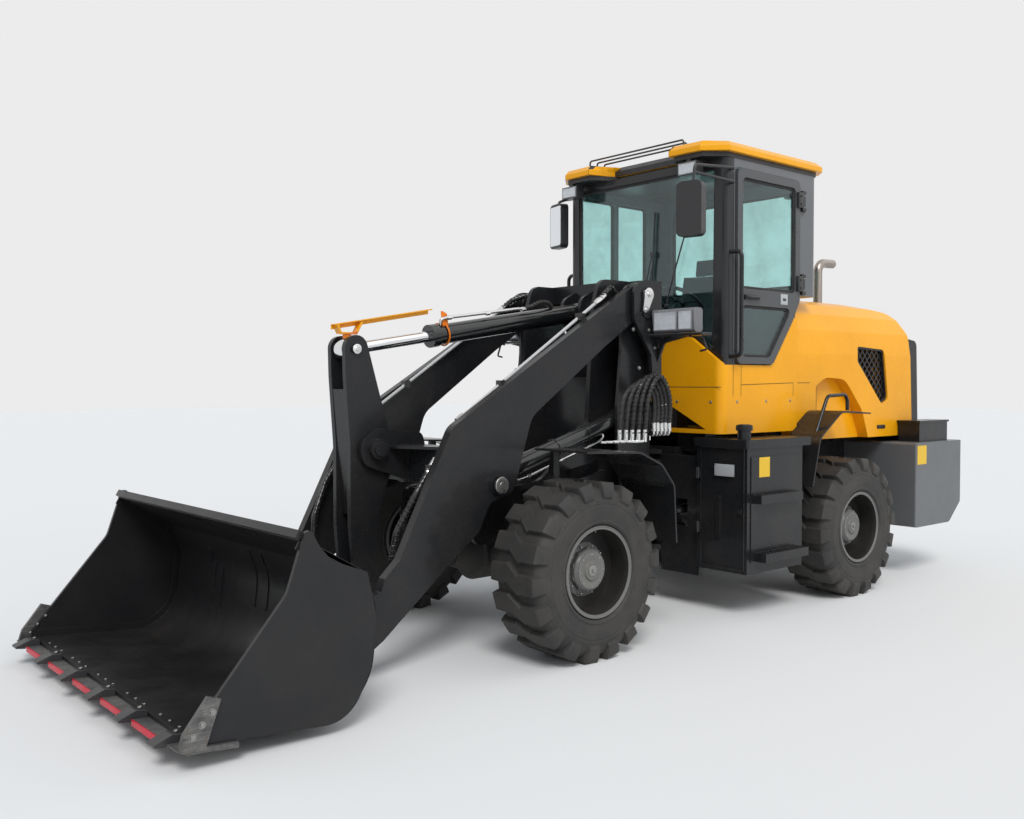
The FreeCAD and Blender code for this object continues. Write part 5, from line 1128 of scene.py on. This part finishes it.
def bucket_trim():
    """Red strip between the teeth, edge bolts and wear pads."""
    red = Shape()
    for i in range(5):
        y0 = -1050 + 420 * i + 46
        y1 = y0 + 328
        red.slab([(y0, 88.5), (y1, 88.5), (y1, 118.5), (y0, 118.5)], "x", 2598, 2606)
    red.done("edge_strip", "red", "bucket", "wear_steel", bevel=1)
    bolts = Shape()
    for i in range(6):
        y = (i - 2.5) * 420
        for x in (2548, 2580):
            z = 150 - (x - 2548) * 0.35
            bolts.turn([(0, 11), (5, 11), (8, 7)], (x, y, z), (0.2, 0, 1), 18)
    for i in range(5):
        for k in range(3):
            y = -840 + 420 * i + (k - 1) * 110
            bolts.turn([(0, 9), (3, 9), (5, 5)], (2490, y, 130), (0, 0, 1), 16)
    bolts.done("edge_bolts", "nut", "bucket", "wear_steel")
    corner = Shape()
    sheet = filleted([(2000, 952), (1657, 752, 60), (1588, 560, 260), (1640, 44, 300), (2500, 110)])
    outer = offset_line(sheet, 3)
    inner = offset_line(sheet, 62)
    rings = []
    for a, b in zip(outer, inner):
        rings.append([(a.x, 1161, a.y), (b.x, 1161, b.y), (b.x, 1154, b.y), (a.x, 1154, a.y)])
    corner.skin(rings)
    weld = [Vector((p.x, 1152, p.y)) for p in offset_line(sheet, 15)]
    corner.tube(weld, 5, 8)
    corner.across()
    corner.done("bucket_corner_strips", "matt", "bucket", "black_steel")
    side = Shape()
    for x, z in ((2452, 250), (2498, 205), (2540, 160)):
        side.bolt((x, 1204, z), (0, 1, 0), 13)
        side.turn([(0, 10), (5, 10), (7, 6)], (x, 1160, z), (0, -1, 0), 18)
    side.across()
    side.done("cutter_bolts", "nut", "bucket", "wear_steel")


# Seat

def pad(name, middle, size, lean, channels):
    """Crowned cushion with piping and sewn channels. Size: depth, width, thickness; the lean turns it about Y."""
    depth, width, thick = size
    shape = Shape()
    count_u, count_v = 36, 30
    up = math.radians(lean)
    along = Vector((math.cos(up), 0, math.sin(up)))
    out = Vector((-math.sin(up), 0, math.cos(up)))

    def place(a, b, c):
        return Vector(middle) + along * a + Vector((0, b, 0)) + out * c

    rows = {}
    for side in (1, -1):
        for i in range(count_u + 1):
            for k in range(count_v + 1):
                u, v = 2 * i / count_u - 1, 2 * k / count_v - 1
                edge = (1 - abs(u) ** 6) * (1 - abs(v) ** 6)
                crown = max(edge, 0.0) ** 0.32
                pull = 1 - 0.035 * (1 - u * u) * abs(v) ** 8
                pinch = 1 - 0.035 * (1 - v * v) * abs(u) ** 8
                groove = 0.0
                if side > 0:
                    for c in channels:
                        groove += 9.0 * math.exp(-((u - c) * depth / 2 / 7.0) ** 2) * crown
                    groove += 8.0 * math.exp(-((abs(v) - 0.62) * width / 2 / 7.0) ** 2) * crown
                    lift = thick * 0.5 * crown * (0.78 + 0.22 * math.cos(u * 1.3) * math.cos(v * 1.2)) - groove
                else:
                    lift = -thick * 0.5 * crown * 0.8
                if i in (0, count_u) or k in (0, count_v):
                    key, lift = (0, i, k), 0.0
                else:
                    key = (side, i, k)
                if key not in rows:
                    rows[key] = shape.bm.verts.new(place(u * depth / 2 * pinch, v * width / 2 * pull, lift))
    for side in (1, -1):
        for i in range(count_u):
            for k in range(count_v):
                corner = []
                for a, b in ((i, k), (i + 1, k), (i + 1, k + 1), (i, k + 1)):
                    outer = a in (0, count_u) or b in (0, count_v)
                    corner.append(rows[(0 if outer else side, a, b)])
                shape.bm.faces.new(corner if side > 0 else corner[::-1])
    cushion = shape.done(name, "fabric", "rear", "fabric", angle=70)
    piping = Shape()
    loop = []
    for u, v in ([(-1 + k / 10, -1) for k in range(20)] + [(1, -1 + k / 10) for k in range(20)]
                 + [(1 - k / 10, 1) for k in range(20)] + [(-1, 1 - k / 10) for k in range(20)]):
        pull = 1 - 0.035 * (1 - u * u) * abs(v) ** 8
        pinch = 1 - 0.035 * (1 - v * v) * abs(u) ** 8
        loop.append(place(u * depth / 2 * pinch, v * width / 2 * pull, 0))
    rows = frames(loop + loop[:1])
    piping.skin([[p + (n * math.cos(a) + b * math.sin(a)) * 4.2 for a in (2 * math.pi * k / 8 for k in range(8))]
                 for p, n, b in rows[:-1]], caps=False, loop=True)
    piping.done(name + "_piping", "seal", "rear", "fabric")


def seat_pieces():
    """Driver's seat: cushion, backrest and headrest on a shell with a bellows base."""
    pad("seat_cushion", (-2150, 0, 1845), (340, 470, 120), 3, (-0.45, 0.05, 0.5))
    pad("seat_back", (-2352, 0, 2245), (600, 470, 115), 97, (-0.55, -0.15, 0.25, 0.62))
    pad("seat_headrest", (-2432, 0, 2612), (130, 270, 88), 97, (0.0,))
    shell = Shape()
    shell.slab([(-2345, 1770), (-1990, 1785), (-1990, 1800), (-2335, 1795), (-2362, 1830), (-2450, 2530), (-2466, 2526),
                (-2385, 1810)], "y", -225, 225)
    shell.tube([(-2438, -70, 2500), (-2450, -70, 2600)], 7, 10)
    shell.tube([(-2438, 70, 2500), (-2450, 70, 2600)], 7, 10)
    shell.done("seat_shell", "plastic", "rear", "black_plastic", bevel=5, replaces=["seat"])
    base = Shape()
    rings = []
    for k in range(13):
        z = 1360 + k * 30
        grow = 12 if k % 2 else -8
        rings.append([(-2195 + sx * (110 + grow), sy * (165 + grow), z) for sx, sy in ((-1, -1), (1, -1), (1, 1), (-1, 1))])
    base.skin(rings)
    base.block((-2320, -185, 1321), (-2070, 185, 1362))
    base.block((-2320, -175, 1718), (-2060, 175, 1772))
    base.done("seat_base", "seal", "rear", "black_plastic", bevel=4)


# Grip covers and small parts in the cab

def cab_inside():
    """Lever knobs with their plate, and the instrument hood with three gauge rings."""
    knobs = Shape()
    for x in (-2150, -2250):
        knobs.turn([(-26, 12), (-10, 22), (8, 24), (20, 18), (26, 6)], (x, -420, 2130), (0.15, 0, 1), 20)
    knobs.block((-2390, -505, 1958), (-2140, -345, 1972))
    knobs.done("lever_knobs", "plastic", "rear", "black_plastic", bevel=2)
    panel = Shape()
    panel.slab([(-1850, 1966), (-1772, 2038), (-1764, 2046), (-1842, 1976)], "y", -230, 230)
    for y in (-130, 0, 130):
        panel.turn([(0, 42), (6, 44), (9, 40), (6, 36)], (-1812, y, 2006), (-0.68, 0, 0.74), 32, loop=True)
    panel.done("instrument_panel", "dark", "rear", "black_plastic", bevel=2)


def set_camera():
    """Camera at the photograph's place and angle."""
    yaw, pitch = math.radians(CAMERA_YAW), math.radians(CAMERA_PITCH)
    look = Vector((math.cos(pitch) * math.cos(yaw), math.cos(pitch) * math.sin(yaw), math.sin(pitch)))
    data = bpy.data.cameras.new("camera")
    data.lens = CAMERA_LENS
    data.sensor_width = SENSOR
    data.sensor_fit = "HORIZONTAL"
    data.clip_end = 300.0
    camera = bpy.data.objects.new("camera", data)
    camera.rotation_euler = look.to_track_quat("-Z", "Y").to_euler()
    camera.location = CAMERA_AT
    bpy.context.scene.collection.objects.link(camera)
    bpy.context.scene.camera = camera


def sun_light(name, towards, spread, power):
    """Broad even light from one direction."""
    data = bpy.data.lights.new(name, "SUN")
    data.angle = math.radians(spread)
    data.energy = power
    light = bpy.data.objects.new(name, data)
    light.rotation_euler = Vector(towards).to_track_quat("-Z", "Y").to_euler()
    bpy.context.scene.collection.objects.link(light)


def set_stage():
    """Pale floor, pale surroundings and soft lights."""
    mesh = bpy.data.meshes.new("floor")
    half = FLOOR_SIZE / 2
    mesh.from_pydata([(-half, -half, 0), (half, -half, 0), (half, half, 0), (-half, half, 0)], [], [(0, 1, 2, 3)])
    floor = bpy.data.objects.new("floor", mesh)
    bpy.context.scene.collection.objects.link(floor)
    g = Graph("floor_pale")
    patch = g.mix(g.noise(0.6, 3.0), tuple(c * 0.985 for c in FLOOR_COLOUR), FLOOR_COLOUR)
    shader = g.add("BsdfPrincipled", {"Base Color": patch, "Roughness": 0.85})
    mesh.materials.append(g.finish(shader.outputs[0]))
    world = bpy.data.worlds.new("studio")
    world.use_nodes = True
    tree = world.node_tree
    tree.nodes.clear()
    sky = tree.nodes.new("ShaderNodeBackground")
    sky.inputs["Color"].default_value = (0.82, 0.87, 0.94, 1.0)
    sky.inputs["Strength"].default_value = 0.52
    seen = tree.nodes.new("ShaderNodeBackground")
    seen.inputs["Color"].default_value = (*PALE, 1.0)
    seen.inputs["Strength"].default_value = 0.9
    rays = tree.nodes.new("ShaderNodeLightPath")
    either = tree.nodes.new("ShaderNodeMath")
    either.operation = "MAXIMUM"
    tree.links.new(rays.outputs["Is Camera Ray"], either.inputs[0])
    tree.links.new(rays.outputs["Is Transmission Ray"], either.inputs[1])
    any_of = tree.nodes.new("ShaderNodeMath")
    any_of.operation = "MAXIMUM"
    tree.links.new(either.outputs[0], any_of.inputs[0])
    tree.links.new(rays.outputs["Is Glossy Ray"], any_of.inputs[1])
    mixer = tree.nodes.new("ShaderNodeMixShader")
    tree.links.new(any_of.outputs[0], mixer.inputs[0])
    tree.links.new(sky.outputs[0], mixer.inputs[1])
    tree.links.new(seen.outputs[0], mixer.inputs[2])
    output = tree.nodes.new("ShaderNodeOutputWorld")
    tree.links.new(mixer.outputs[0], output.inputs["Surface"])
    bpy.context.scene.world = world
    sun_light("key", (-0.55, -0.75, -1.0), 22.0, 1.75)
    sun_light("fill", (0.9, -0.4, -0.8), 60.0, 0.35)
    sun_light("side", (0.1, -1.0, -0.35), 50.0, 0.35)


materials = make_materials()
dress(materials)
set_camera()
set_stage()
wheel_pieces()
lamps()
mirror_glass()
seals()
cab_trim()
seams()
body_trim()
rear_trim()
linkage_trim()
tilt_trim()
arm_hoses()
frame_trim()
lift_trim()
bucket_trim()
seat_pieces()
cab_inside()
bpy.context.scene.view_settings.view_transform = "Standard"
